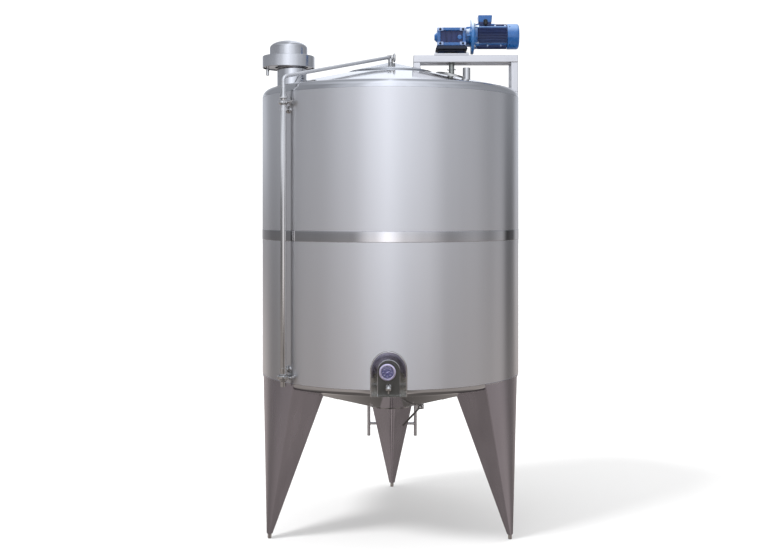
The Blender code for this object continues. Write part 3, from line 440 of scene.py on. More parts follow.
def material(maker):
    """A material made once and then shared."""
    if maker not in MATERIALS:
        MATERIALS[maker] = maker()
    return MATERIALS[maker]


# Mesh builders
def lathe(bm, profile, matrix=Matrix(), sides=48, closed=False):
    """Adds a turned solid; the profile's (radius, height) points run down its outer side."""
    rows = []
    for radius, height in profile:
        if radius < SEAM / 3:
            rows.append([bm.verts.new(matrix @ Vector((0, 0, height)))])
            continue
        turns = (2 * math.pi * i / sides for i in range(sides))
        rows.append([bm.verts.new(matrix @ Vector((radius * math.cos(a), radius * math.sin(a), height)))
                     for a in turns])
    pairs = list(zip(rows, rows[1:]))
    if closed:
        pairs.append((rows[-1], rows[0]))
    for row, below in pairs:
        for i in range(sides):
            j = (i + 1) % sides
            corners = (row[i % len(row)], below[i % len(below)], below[j % len(below)], row[j % len(row)])
            bm.faces.new(tuple(dict.fromkeys(corners)))


def loft(bm, rings, looped=False):
    """Adds a closed solid through rings of points, its ends closed or joined."""
    rows = [[bm.verts.new(point) for point in ring] for ring in rings]
    pairs = list(zip(rows, rows[1:]))
    if looped:
        pairs.append((rows[-1], rows[0]))
    faces = []
    for row, above in pairs:
        count = len(row)
        for i in range(count):
            j = (i + 1) % count
            faces.append(bm.faces.new((row[i], row[j], above[j], above[i])))
    if not looped:
        faces.append(bm.faces.new(rows[0]))
        faces.append(bm.faces.new(rows[-1]))
    bmesh.ops.recalc_face_normals(bm, faces=faces)


def tube(bm, points, radius, sides=16, looped=False):
    """Adds a round bar along points, its ends closed or joined."""
    points = [Vector(point) for point in points]
    count = len(points)
    rings = []
    side = None
    for i, point in enumerate(points):
        before = points[i - 1] if i or looped else point
        after = points[(i + 1) % count] if i < count - 1 or looped else point
        along = (after - before).normalized()
        if side is None:
            side = along.orthogonal().normalized()
        side = (side - along * side.dot(along)).normalized()
        other = along.cross(side)
        turns = (2 * math.pi * k / sides for k in range(sides))
        rings.append([point + (side * math.cos(a) + other * math.sin(a)) * radius for a in turns])
    loft(bm, rings, looped)


def absorb(bm, part, matrix=Matrix()):
    """Moves a small bmesh into a larger one."""
    mesh = bpy.data.meshes.new("part")
    part.to_mesh(mesh)
    part.free()
    mesh.transform(matrix)
    bm.from_mesh(mesh)
    bpy.data.meshes.remove(mesh)


def block(bm, start, end, bevel=0.0, matrix=Matrix(), segments=2):
    """Adds a box between two corners, with rounded edges."""
    start, end = Vector(start), Vector(end)
    part = bmesh.new()
    bmesh.ops.create_cube(part, size=1.0)
    bmesh.ops.scale(part, vec=end - start, verts=part.verts)
    bmesh.ops.translate(part, vec=(start + end) / 2, verts=part.verts)
    if bevel:
        bmesh.ops.bevel(part, geom=part.edges[:], offset=bevel, segments=segments, profile=0.5,
                        affect="EDGES")
    absorb(bm, part, matrix)


def towards(start, direction):
    """Matrix that puts +Z along a direction at a point."""
    turn = Vector((0, 0, 1)).rotation_difference(Vector(direction)).to_matrix().to_4x4()
    return Matrix.Translation(Vector(start)) @ turn


def bar(bm, start, end, radius, sides=24, bevel=0.0):
    """Adds a round bar with broken edges from one point to another."""
    start, end = Vector(start), Vector(end)
    length = (end - start).length
    profile = [(0, length), (radius - bevel, length), (radius, length - bevel),
               (radius, bevel), (radius - bevel, 0), (0, 0)]
    if not bevel:
        profile = [(0, length), (radius, length), (radius, 0), (0, 0)]
    lathe(bm, profile, towards(start, end - start), sides)


def arc(centre, radius, start, end, steps):
    """Points of an arc in a plane, angles in degrees."""
    turns = (math.radians(start + (end - start) * i / steps) for i in range(steps + 1))
    return [(centre[0] + radius * math.cos(a), centre[1] + radius * math.sin(a)) for a in turns]


def plain_object(name, bm):
    """An object of a bmesh, linked to the scene."""
    mesh = bpy.data.meshes.new(name)
    bm.to_mesh(mesh)
    bm.free()
    made = bpy.data.objects.new(name, mesh)
    bpy.context.scene.collection.objects.link(made)
    return made


def settled(made):
    """An object with its modifiers and place taken into a plain mesh."""
    graph = bpy.context.evaluated_depsgraph_get()
    mesh = bpy.data.meshes.new_from_object(made.evaluated_get(graph))
    mesh.transform(made.matrix_world)
    made.modifiers.clear()
    made.matrix_world = Matrix()
    made.data = mesh
    return made


def carve(made, *cutters):
    """Cuts other objects out of a piece and removes them."""
    for cutter in cutters:
        step = made.modifiers.new("cut", "BOOLEAN")
        step.operation = "DIFFERENCE"
        step.solver = "EXACT"
        step.object = cutter
    bpy.context.view_layer.update()
    settled(made)
    for cutter in cutters:
        bpy.data.objects.remove(cutter, do_unlink=True)
    return made


def dress(made, maker, slot, *nodes, body="tank", crease=35.0):
    """Finishes a piece: smooth shading, material, body and the nodes it stands for. Its slot argument is not
    used.
    """
    mesh = made.data
    mesh.materials.clear()
    mesh.materials.append(material(maker))
    mesh.polygons.foreach_set("material_index", [0] * len(mesh.polygons))
    mesh.shade_smooth()
    mesh.set_sharp_from_angle(angle=math.radians(crease))
    step = made.modifiers.new("flat_faces", "WEIGHTED_NORMAL")
    step.keep_sharp = True
    bpy.context.view_layer.update()
    settled(made)
    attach(made, body)
    if nodes:
        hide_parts(*nodes)
    return made


def solid(name, bm, maker, slot, *nodes, **looks):
    """A finished piece straight from a bmesh."""
    return dress(plain_object(name, bm), maker, slot, *nodes, **looks)


# Vessel
KNUCKLE_TURN = 82.5
CUTTER_WALL = 0.4


def top_edge(clear, steps):
    """Points of the roof's edge knuckle, from the cone down to the wall."""
    bend = shape().top_knuckle
    end = math.degrees(math.atan(1.0 / ROOF_SLOPE))
    return arc((RADIUS - bend, WALL_HIGH), bend + clear, end, 0.0, steps)


def bottom_edge(clear, steps):
    """Points of the bottom's edge knuckle and cone, from the wall down to the plate."""
    bend = shape().bottom_knuckle
    edge = arc((RADIUS - bend, WALL_LOW), bend + clear, 0.0, -KNUCKLE_TURN, steps)
    return edge + [(LIP_RADIUS, LIP_Z - clear), (PLATE_RADIUS, PLATE_HIGH - clear)]


def under_vessel():
    """A cutter with the outer form of the vessel's bottom."""
    bm = bmesh.new()
    top = WALL_LOW + CUTTER_WALL
    profile = [(0, top), (RADIUS + SEAM, top)] + bottom_edge(SEAM, 12)
    lathe(bm, profile + [(0, PLATE_HIGH - SEAM)], sides=192)
    return plain_object("under_vessel", bm)


def over_vessel():
    """A cutter with the outer form of the roof and its crown."""
    bm = bmesh.new()
    crown = roof_z(CROWN_RADIUS)
    profile = [(0, CROWN_APEX + SEAM), (CROWN_RADIUS + SEAM, crown + CROWN_LIFT + SEAM),
               (CROWN_RADIUS + SEAM, crown + SEAM)]
    bottom = WALL_HIGH - CUTTER_WALL
    profile += top_edge(SEAM, 12) + [(RADIUS + SEAM, bottom), (0, bottom)]
    lathe(bm, profile, sides=192)
    return plain_object("over_vessel", bm)


def course(name, start, end):
    """One course of the cladding: a ring with its edges rolled in."""
    bm = bmesh.new()
    roll = 0.0012
    inner = RADIUS - shape().wall
    lathe(bm, [(RADIUS - roll, end), (RADIUS - roll / 3, end - roll / 3), (RADIUS, end - roll),
               (RADIUS, (start + end) / 2), (RADIUS, start + roll),
               (RADIUS - roll / 3, start + roll / 3), (RADIUS - roll, start), (inner, start), (inner, end)],
          sides=shape().round_sides, closed=True)
    return plain_object(name, bm)


def build_shell():
    """Upper and lower courses of satin cladding, the lower one open at the alcove."""
    sides = ("front", "right", "rear", "left")
    upper = course("upper_cladding", BAND_HIGH + SEAM, WALL_HIGH - SEAM)
    dress(upper, satin_cladding, "satin_steel", *(f"shell_upper_{side}" for side in sides))
    lower = course("lower_cladding", WALL_LOW + SEAM, BAND_LOW - SEAM)
    carve(lower, niche("niche_cutter", NICHE_SHEET + SEAM))
    dress(lower, satin_cladding, "satin_steel", *(f"shell_lower_{side}" for side in sides))


def build_bands():
    """Polished band, roof and bottom."""
    sides = shape().round_sides
    inner = RADIUS - shape().wall
    polished_band(sides, inner)
    roof_parts(sides, inner)
    bottom_parts(sides, inner)


def polished_band(sides, inner):
    """Band between the courses, a little proud of them."""
    bm = bmesh.new()
    swell = 0.0012
    lathe(bm, [(RADIUS, BAND_HIGH), (RADIUS + swell, BAND_HIGH - 0.002), (RADIUS + swell, BAND_LOW + 0.002),
               (RADIUS, BAND_LOW), (inner, BAND_LOW), (inner, BAND_HIGH)], sides=sides, closed=True)
    solid("polished_band", bm, mirror_sheet, "polished_steel", "mid_band")


def roof_parts(sides, inner):
    """Edge knuckle of the roof, its cone with three holes, and the crown plate."""
    bm = bmesh.new()
    lathe(bm, top_edge(0.0, 24) + [(EDGE_RADIUS - 0.001, WALL_HIGH)], sides=sides, closed=True)
    solid("roof_edge", bm, mirror_sheet, "polished_steel", "top_knuckle")

    bm = bmesh.new()
    edge = EDGE_RADIUS - SEAM
    under = 0.040
    lathe(bm, [(0, APEX_Z), (edge / 2, roof_z(edge / 2)), (edge, roof_z(edge)), (edge, WALL_HIGH + SEAM),
               (inner, WALL_HIGH + SEAM), (inner, roof_z(inner) - under), (0, APEX_Z - under)], sides=sides)
    roof = plain_object("roof_sheet", bm)
    vent = middle("breather_neck")
    carve(roof, roof_bore(vent, high("breather_neck").x - vent.x - VENT_SHEET),
          roof_bore(Vector((AGITATOR_X, 0, 0)), ROOF_HOLE),
          roof_bore(middle("roof_nozzle"), NOZZLE_BORE))
    dress(roof, mirror_sheet, "polished_steel", "roof_cone")

    bm = bmesh.new()
    rim = roof_z(CROWN_RADIUS)
    lathe(bm, [(0, CROWN_APEX), (CROWN_RADIUS - 0.006, rim + CROWN_LIFT + 0.0012),
               (CROWN_RADIUS - 0.002, rim + CROWN_LIFT - 0.001), (CROWN_RADIUS, rim + CROWN_LIFT - 0.004),
               (CROWN_RADIUS, rim + SEAM), (0, APEX_Z + SEAM)], sides=sides // 2)
    solid("roof_crown_plate", bm, rolled_sheet, "polished_steel", "roof_crown")


def bottom_parts(sides, inner):
    """Edge knuckle of the bottom, its cone and the closing plate."""
    bm = bmesh.new()
    edge = [(RADIUS, WALL_LOW - SEAM)] + bottom_edge(0.0, 20)[1:-1]
    lathe(bm, edge + [(LIP_RADIUS, WALL_LOW - SEAM)], sides=sides, closed=True)
    ring = carve(plain_object("bottom_edge", bm), niche("niche_cutter", NICHE_SHEET + SEAM))
    dress(ring, mirror_sheet, "polished_steel", "bottom_knuckle")

    bm = bmesh.new()
    rim = LIP_RADIUS - SEAM
    rise = 0.040
    floor = PLATE_HIGH - BOTTOM_SLOPE * PLATE_RADIUS + rise
    lathe(bm, [(0, floor), (inner, LIP_Z + rise), (inner, WALL_LOW), (rim, WALL_LOW), (rim, LIP_Z),
               (PLATE_RADIUS, PLATE_HIGH), (0, PLATE_HIGH)], sides=sides)
    cone = carve(plain_object("bottom_sheet", bm), niche("niche_cutter", NICHE_SHEET + SEAM))
    dress(cone, mirror_sheet, "polished_steel", "bottom_cone")

    bm = bmesh.new()
    lathe(bm, [(0, PLATE_HIGH - SEAM), (PLATE_RADIUS - 0.003, PLATE_HIGH - SEAM),
               (PLATE_RADIUS, PLATE_HIGH - 0.003), (PLATE_RADIUS, PLATE_LOW + 0.004),
               (PLATE_RADIUS - 0.004, PLATE_LOW), (0, PLATE_LOW)], sides=96)
    solid("bottom_plate", bm, bright_tube, "pipe_steel", "outlet_plate")


def roof_bore(centre, radius):
    """A cutter for a hole straight down through the roof."""
    bm = bmesh.new()
    bar(bm, (centre.x, centre.y, WALL_HIGH - 0.1), (centre.x, centre.y, APEX_Z + 0.2), radius, 48)
    return plain_object("bore", bm)


# Alcove; half the arch's width and the height of its crest, at the mouth and at the back,
# and how many depths its cutters reach out from the back
NICHE_MOUTH = (0.119, 1.300)
NICHE_BACK = (0.071, 1.2433)
NICHE_REACH = 1.6
NICHE_DEPTH = 0.046
NICHE_FLOOR = 1.020
NICHE_SHEET = 0.004


def arch(half, top, bottom, y, steps=40):
    """Outline of an upright arch at one depth."""
    spring = top - half
    points = [(half, bottom)] + arc((0.0, spring), half, 0.0, 180.0, steps) + [(-half, bottom)]
    return [Vector((x, y, z)) for x, z in points]


def niche(name, grow):
    """The alcove's space, grown outwards, from in front of the wall to its back."""
    half = NICHE_BACK[0] + (NICHE_MOUTH[0] - NICHE_BACK[0]) * NICHE_REACH + grow
    top = NICHE_BACK[1] + (NICHE_MOUTH[1] - NICHE_BACK[1]) * NICHE_REACH + grow
    back = RADIUS - NICHE_DEPTH
    bm = bmesh.new()
    loft(bm, [arch(half, top, NICHE_FLOOR - grow, -back - NICHE_DEPTH * NICHE_REACH),
              arch(NICHE_BACK[0] + grow, NICHE_BACK[1] + grow, NICHE_FLOOR - grow, -back + grow)])
    return plain_object(name, bm)


def mouth_points(steps=48):
    """The alcove's rim, where its flared arch meets the round wall."""
    points = []
    back = RADIUS - NICHE_DEPTH
    for near, far in zip(arch(*NICHE_BACK, NICHE_FLOOR, -back, steps),
                         arch(*NICHE_MOUTH, NICHE_FLOOR, -RADIUS, steps)):
        start, end = 0.0, NICHE_REACH
        for _ in range(24):
            share = (start + end) / 2
            point = near + (far - near) * share
            if math.hypot(point.x, point.y) < RADIUS:
                start = share
            else:
                end = share
        points.append(near + (far - near) * start)
    return points


def build_alcove():
    """Sheet liner of the alcove with its rolled rim."""
    liner = niche("alcove_liner", NICHE_SHEET)
    bm = bmesh.new()
    above, below, clear = 1.6, 0.8, RADIUS + 0.3
    lathe(bm, [(clear, above), (clear, below), (RADIUS, below), (RADIUS, above)],
          sides=shape().round_sides, closed=True)
    outside = plain_object("outside", bm)
    carve(liner, niche("niche_inside", 0.0), outside)
    dress(liner, half_polished_sheet, "polished_steel", "alcove")
    # The back plate is coloured dark: painted shade of the recess.
    half, top = NICHE_BACK
    back = RADIUS - NICHE_DEPTH
    inset = 0.0006
    bm = bmesh.new()
    loft(bm, [arch(half - inset, top - inset, NICHE_FLOOR + inset, -back - lift)
              for lift in (0.0012, 0.0002)])
    solid("alcove_back", bm, mill_finish_sheet, "polished_steel")

    bm = bmesh.new()
    tube(bm, mouth_points(), 0.0032, 10)
    tube(bm, arch(half, top, NICHE_FLOOR, 0.001 - back, 48), 0.0028, 10)
    solid("alcove_rims", bm, mirror_sheet, "polished_steel")


# Legs; the folds' radii are shares of the leg's width
LEG_ANGLES = {"left": 210.0, "right": 330.0, "rear": 90.0}
LEG_TOP = 1.057
LEG_FOOT = 0.030
LEG_FOOT_WIDTH = 0.030
LEG_FLARE = 0.445
LEG_FOOT_RADIUS = 0.9375
LEG_INNER_FOOT = 0.900
LEG_INNER_SLOPE = 0.460
LEG_INNER_FOLD = 0.090
LEG_OUTER_FOLD = 0.012


def rounded(corners, radii, steps):
    """A polygon's corners rounded with arcs of their own radii, as points in a plane."""
    points = []
    for i, (corner, radius) in enumerate(zip(corners, radii)):
        here = Vector(corner)
        before = (Vector(corners[i - 1]) - here).normalized()
        after = (Vector(corners[(i + 1) % len(corners)]) - here).normalized()
        half = before.angle(after) / 2
        centre = here + (before + after).normalized() * radius / math.sin(half)
        start = here + before * radius / math.tan(half) - centre
        end = here + after * radius / math.tan(half) - centre
        sweep = start.angle_signed(end)
        for k in range(steps + 1):
            points.append(centre + Matrix.Rotation(-sweep * k / steps, 2) @ start)
    return points


def leg_section(height):
    """A leg's section at one height: inner fold, outer folds, half its width and its face's bow."""
    share = (height - LEG_FOOT) / (LEG_TOP - LEG_FOOT)
    half = (LEG_FOOT_WIDTH + LEG_FLARE * height) / 2
    # At the top the bowed face lies on the wall's circle as far as the folds of about 60 degrees
    top_half = (LEG_FOOT_WIDTH + LEG_FLARE * LEG_TOP) / 2 * (1 - 2 * LEG_OUTER_FOLD * math.sqrt(3))
    top_fold = math.sqrt(RADIUS ** 2 - top_half ** 2)
    fold = LEG_FOOT_RADIUS + (top_fold - LEG_FOOT_RADIUS) * share
    inner = LEG_INNER_FOOT - LEG_INNER_SLOPE * (height - LEG_FOOT)
    return inner, fold, half, (RADIUS - top_fold) * share


def leg_seam(angle):
    """Line of the weld between a leg and the vessel: up one side, round the face, down the other."""
    profile = bottom_edge(0.0, 8)
    lip, plate = Vector(profile[-2]), Vector(profile[-1])
    profile = profile[:-1] + [lip.lerp(plate, 0.1 * k) for k in range(1, 7)]
    side = []
    for reach, height in profile:
        inner, fold, half, _ = leg_section(height)
        slant = (fold - inner) ** 2 + half ** 2
        lean = inner * (fold - inner)
        along = (math.sqrt(lean ** 2 + slant * (reach ** 2 - inner ** 2)) - lean) / slant
        side.append((inner + along * (fold - inner), along * half, height))
    swing = math.atan2(side[0][1], side[0][0])
    face = [(RADIUS * math.cos(swing * (1 - k / 8)), RADIUS * math.sin(swing * (1 - k / 8)), WALL_LOW)
            for k in range(1, 16)]
    turn = Matrix.Rotation(math.radians(angle), 3, "Z")
    line = side[::-1] + face + [(radial, -across, height) for radial, across, height in side]
    return [turn @ Vector(point) for point in line]


def leg_ring(height, angle, steps=8, bows=10):
    """A leg's outline at one height, its three folds rounded."""
    inner, fold, half, bow = leg_section(height)
    radii = [half * 2 * ratio for ratio in (LEG_INNER_FOLD, LEG_OUTER_FOLD, LEG_OUTER_FOLD)]
    outline = rounded([(inner, 0.0), (fold, half), (fold, -half)], radii, steps)
    first_side = 2 * (steps + 1)
    last, first = outline[first_side - 1], outline[first_side]
    across = []
    for k in range(1, bows):
        part = k / bows
        point = last.lerp(first, part)
        across.append(Vector((point[0] + bow * 4 * part * (1 - part), point[1])))
    turn = Matrix.Rotation(math.radians(angle), 3, "Z")
    return [turn @ Vector((point[0], point[1], height))
            for point in outline[:first_side] + across + outline[first_side:]]


def build_legs():
    """Three folded sheet legs, cut to the bottom, on their pins."""
    for name, angle in LEG_ANGLES.items():
        bm = bmesh.new()
        steps = 12
        heights = [LEG_FOOT + (LEG_TOP - LEG_FOOT) * k / steps for k in range(steps + 1)]
        loft(bm, [leg_ring(height, angle) for height in heights])
        leg = carve(plain_object(f"folded_leg_{name}", bm), under_vessel())
        dress(leg, brushed_leg_sheet, "leg_steel", f"leg_{name}", crease=28.0)
        bm = bmesh.new()
        tube(bm, leg_seam(angle), shape().weld * 0.6, 10)
        solid(f"leg_weld_{name}", bm, brushed_leg_sheet, "leg_steel")
        pin = middle(f"foot_{name}")
        radius = high(f"foot_{name}").x - pin.x
        bm = bmesh.new()
        lathe(bm, [(0, LEG_FOOT - SEAM), (radius, LEG_FOOT - SEAM), (radius, 0.004),
                   (radius - 0.002, 0.0), (0, 0)], Matrix.Translation((pin.x, pin.y, 0)), 32)
        solid(f"pin_{name}", bm, bright_tube, "pipe_steel", f"foot_{name}")


# Repeated pieces by Geometry Nodes
def begin_tree(name, sockets):
    """A Geometry Nodes tree with named inputs; returns it with the inputs' sockets."""
    tree = bpy.data.node_groups.new(name, "GeometryNodeTree")
    tree.interface.new_socket("Geometry", in_out="OUTPUT", socket_type="NodeSocketGeometry")
    for label, kind in sockets:
        tree.interface.new_socket(label, in_out="INPUT", socket_type=kind)
    return tree, add(tree, "NodeGroupInput").outputs


def end_tree(tree, copies):
    """Realizes the instances and closes the tree."""
    real = add(tree, "GeometryNodeRealizeInstances", links={"Geometry": copies.outputs["Instances"]})
    add(tree, "NodeGroupOutput", links={"Geometry": real.outputs["Geometry"]})
    return tree


def ring_tree():
    """Copies of a small piece on a ring, each turned to face outwards."""
    tree, given = begin_tree("copies_on_a_ring", (
        ("Piece", "NodeSocketObject"), ("Count", "NodeSocketInt"),
        ("Radius", "NodeSocketFloat"), ("Sweep", "NodeSocketFloat"), ("Start", "NodeSocketFloat")))
    index = add(tree, "GeometryNodeInputIndex")
    share = add(tree, "ShaderNodeMath", {"operation": "DIVIDE"},
                links={0: index.outputs[0], 1: given["Count"]})
    angle = add(tree, "ShaderNodeMath", {"operation": "MULTIPLY_ADD"},
                links={0: share.outputs[0], 1: given["Sweep"], 2: given["Start"]})
    turn = add(tree, "ShaderNodeCombineXYZ", links={"Z": angle.outputs[0]})
    reach = add(tree, "ShaderNodeCombineXYZ", links={"X": given["Radius"]})
    place = add(tree, "ShaderNodeVectorRotate", {"rotation_type": "Z_AXIS"},
                links={"Vector": reach.outputs[0], "Angle": angle.outputs[0]})
    points = add(tree, "GeometryNodePoints", links={"Count": given["Count"], "Position": place.outputs[0]})
    piece = add(tree, "GeometryNodeObjectInfo", links={"Object": given["Piece"]})
    copies = add(tree, "GeometryNodeInstanceOnPoints", links={
        "Points": points.outputs[0], "Instance": piece.outputs["Geometry"], "Rotation": turn.outputs[0]})
    return end_tree(tree, copies)


def row_tree():
    """Copies of a small piece in a straight row."""
    tree, given = begin_tree("copies_in_a_row", (
        ("Piece", "NodeSocketObject"), ("Count", "NodeSocketInt"),
        ("Step", "NodeSocketVector")))
    index = add(tree, "GeometryNodeInputIndex")
    place = add(tree, "ShaderNodeVectorMath", {"operation": "SCALE"},
                links={0: given["Step"], "Scale": index.outputs[0]})
    points = add(tree, "GeometryNodePoints", links={"Count": given["Count"], "Position": place.outputs[0]})
    piece = add(tree, "GeometryNodeObjectInfo", links={"Object": given["Piece"]})
    copies = add(tree, "GeometryNodeInstanceOnPoints", links={
        "Points": points.outputs[0], "Instance": piece.outputs["Geometry"]})
    return end_tree(tree, copies)


def bead_tree():
    """Ripples of a weld, each a small scale set along a curve."""
    tree, given = begin_tree("weld_bead", (
        ("Piece", "NodeSocketObject"), ("Curve", "NodeSocketObject"),
        ("Spacing", "NodeSocketFloat")))
    route = add(tree, "GeometryNodeObjectInfo", links={"Object": given["Curve"]})
    points = add(tree, "GeometryNodeCurveToPoints", {"mode": "LENGTH"},
                 links={"Curve": route.outputs["Geometry"], "Length": given["Spacing"]})
    piece = add(tree, "GeometryNodeObjectInfo", links={"Object": given["Piece"]})
    copies = add(tree, "GeometryNodeInstanceOnPoints", links={
        "Points": points.outputs["Points"], "Instance": piece.outputs["Geometry"],
        "Rotation": points.outputs["Rotation"]})
    return end_tree(tree, copies)


TREES = {}


def spread(name, maker, matrix=Matrix(), **inputs):
    """Runs a Geometry Nodes tree and keeps its result as a plain object."""
    if maker not in TREES:
        TREES[maker] = maker()
    tree = TREES[maker]
    holder = plain_object(name, bmesh.new())
    step = holder.modifiers.new("copies", "NODES")
    step.node_group = tree
    for item in tree.interface.items_tree:
        if item.in_out == "INPUT" and item.name in inputs:
            step[item.identifier] = inputs[item.name]
    holder.matrix_world = matrix
    bpy.context.view_layer.update()
    settled(holder)
    for used in ("Piece", "Curve"):
        if used in inputs:
            bpy.data.objects.remove(inputs[used], do_unlink=True)
    return holder


def on_ring(name, matrix, piece, count, radius, start=0.0, sweep=2 * math.pi):
    """Copies of a piece on a ring round +Z, the first at the start angle."""
    return spread(name, ring_tree, matrix, Piece=piece, Count=count, Radius=radius, Sweep=sweep, Start=start)


def in_row(name, matrix, piece, count, step):
    """Copies of a piece in a straight row."""
    return spread(name, row_tree, matrix, Piece=piece, Count=count, Step=step)


def hex_bolt(width, head=0.62, washer=True):
    """A hexagon head with its washer, standing on Z = 0."""
    bm = bmesh.new()
    corner = width / 2 / math.cos(math.radians(30))
    top = width * head + 0.1 * width
    base = 0.1 * width if washer else 0.0
    lathe(bm, [(0, top), (corner * 0.9, top), (corner, top - width * 0.08), (corner, base), (0, base)],
          sides=6)
    if washer:
        lathe(bm, [(0, base), (width * 0.78, base), (width * 0.78, 0), (0, 0)], sides=20)
    return plain_object("hex_bolt", bm)


def weld(name, points, width):
    """A rippled weld bead along a closed line of points, as a plain object."""
    bm = bmesh.new()
    bmesh.ops.create_icosphere(bm, subdivisions=1, radius=0.5)
    bmesh.ops.scale(bm, vec=(width, width * 0.7, width * 0.7), verts=bm.verts)
    scale = plain_object("weld_scale", bm)
    curve = bpy.data.curves.new("weld_line", "CURVE")
    curve.dimensions = "3D"
    line = curve.splines.new("POLY")
    line.points.add(len(points) - 1)
    line.use_cyclic_u = True
    for spot, point in zip(line.points, points):
        spot.co = (*point, 1.0)
    route = bpy.data.objects.new("weld_line", curve)
    bpy.context.scene.collection.objects.link(route)
    bpy.context.view_layer.update()
    return spread(name, bead_tree, Piece=scale, Curve=route, Spacing=width * 0.55)


def on_roof(centre, radius, count=64):
    """Points where an upright round pipe meets the roof or its crown."""
    points = []
    for i in range(count):
        angle = 2 * math.pi * i / count
        x = centre.x + radius * math.cos(angle)
        y = centre.y + radius * math.sin(angle)
        points.append(Vector((x, y, top_z(math.hypot(x, y)))))
    return points


def top_z(radius):
    """Height of the top surface, crown plate included."""
    if radius > CROWN_RADIUS:
        return roof_z(radius)
    rim = roof_z(CROWN_RADIUS) + CROWN_LIFT
    return CROWN_APEX - (CROWN_APEX - rim) * radius / CROWN_RADIUS


# Breather
DRUM_SHEET = 0.006


def build_breather():
    """Vent neck, drum with its baffle, dome, drain, and the weld round the neck."""
    centre = middle("breather_neck")
    radius = high("breather_neck").x - centre.x
    vent_neck(centre, radius)
    vent_drum(centre, radius)
    vent_dome()
    vent_drain()
    seam = weld("vent_weld", on_roof(centre, radius + 0.001), shape().weld)
    dress(seam, bright_tube, "pipe_steel")


def vent_neck(centre, radius):
    """Open pipe through the roof."""
    bore = radius - VENT_SHEET
    top = high("breather_neck").z
    bm = bmesh.new()
    lathe(bm, [(radius, top), (radius, WALL_HIGH - 0.02), (bore, WALL_HIGH - 0.02), (bore, top)],
          Matrix.Translation((centre.x, 0, 0)), 96, closed=True)
    neck = carve(plain_object("vent_neck", bm), over_vessel())
    dress(neck, mirror_sheet, "polished_steel", "breather_neck")


def vent_drum(centre, radius):
    """Drum open at its bottom, and the baffle in it."""
    bore = radius - VENT_SHEET
    head = middle("breather_drum")
    rim = high("breather_drum").x - head.x
    base, lid = low("breather_drum").z, high("breather_drum").z
    sheet = DRUM_SHEET
    bm = bmesh.new()
    shoulder = 0.007
    profile = [(0, lid)] + arc((rim - shoulder, lid - shoulder), shoulder, 90, 0, 6)
    profile += [(rim, base + 0.002), (rim - 0.002, base), (rim - sheet, base), (rim - sheet, lid - sheet),
                (0, lid - sheet)]
    lathe(bm, profile, Matrix.Translation((head.x, 0, 0)), 128)
    hole = bmesh.new()
    bar(hole, (centre.x, 0, base), (centre.x, 0, lid + 0.02), bore, 64)
    drum = carve(plain_object("vent_drum", bm), plain_object("vent_hole", hole))
    dress(drum, satin_cap, "satin_steel", "breather_drum")
    bm = bmesh.new()
    air = 0.010
    lathe(bm, [(rim - sheet - air, base + 0.008), (rim - sheet - air, base + 0.006), (bore, base + 0.006),
               (bore, base + 0.008)], Matrix.Translation((head.x, 0, 0)), 96, closed=True)
    room = bmesh.new()
    bar(room, (centre.x, 0, base - 0.02), (centre.x, 0, base + 0.03), radius + air, 64)
    baffle = carve(plain_object("vent_baffle", bm), plain_object("room", room))
    dress(baffle, satin_cap, "satin_steel")


def vent_dome():
    """Spun dome on the drum."""
    head = middle("breather_drum")
    lid = high("breather_drum").z
    sheet = DRUM_SHEET
    size = high("breather_dome").x - head.x
    crest = high("breather_dome").z
    crown = 0.056
    bm = bmesh.new()
    turns = [math.pi / 2 * k / 20 for k in range(21)]
    outer = [(size * math.sin(a), crest - crown + crown * math.cos(a)) for a in turns]
    inner = [((size - sheet) * math.sin(a), crest - crown + (crown - sheet) * math.cos(a)) for a in turns]
    foot = lid + SEAM
    flare = [(size, foot + 0.004), (size + 0.004, foot), (size - sheet, foot)]
    lathe(bm, outer + flare + inner[::-1], Matrix.Translation((head.x, 0, 0)), 128)
    solid("vent_dome", bm, satin_cap, "satin_steel", "breather_dome")


def vent_drain():
    """Short drain stub under the drum."""
    drain = middle("breather_drain")
    width = high("breather_drain").x - drain.x
    bm = bmesh.new()
    start, end = low("breather_drain").z, high("breather_drain").z
    lathe(bm, [(0, end), (width, end), (width, start + 0.002), (width - 0.002, start),
               (width - 0.004, start), (width - 0.004, start + 0.02), (0, start + 0.02)],
          Matrix.Translation((drain.x, 0, 0)), 32)
    solid("vent_drain", bm, bright_tube, "pipe_steel", "breather_drain")


# Cleaning pipe
def clamp_ring(bm, centre, half, outer, axis=(0, 0, 1)):
    """Adds the two-part ring of a pipe clamp about a centre."""
    inner = outer * 0.74
    lathe(bm, [(inner, half), (outer * 0.9, half * 0.78), (outer, half * 0.5), (outer, -half * 0.5),
               (outer * 0.9, -half * 0.78), (inner, -half)], towards(centre, axis), 48, closed=True)


def wing_nut(bm, centre, axis, size, spin=90.0):
    """Adds a wing nut on its stud; axis points out of the stud's end."""
    place = towards(centre, axis) @ Matrix.Rotation(math.radians(spin), 4, "Z")
    lathe(bm, [(0, size * 1.3), (size * 0.16, size * 1.3), (size * 0.16, -size * 1.6), (0, -size * 1.6)],
          place, 16)
    lathe(bm, [(0, size * 0.7), (size * 0.3, size * 0.7), (size * 0.42, 0), (0, 0)], place, 20)
    for side in (-1, 1):
        root = Vector((side * size * 0.25, 0, size * 0.3))
        points = [root, Vector((side * size * 0.75, 0, size * 0.75)), Vector((side * size, 0, size * 1.25))]
        tube(bm, [place @ point for point in points], size * 0.16, 12)


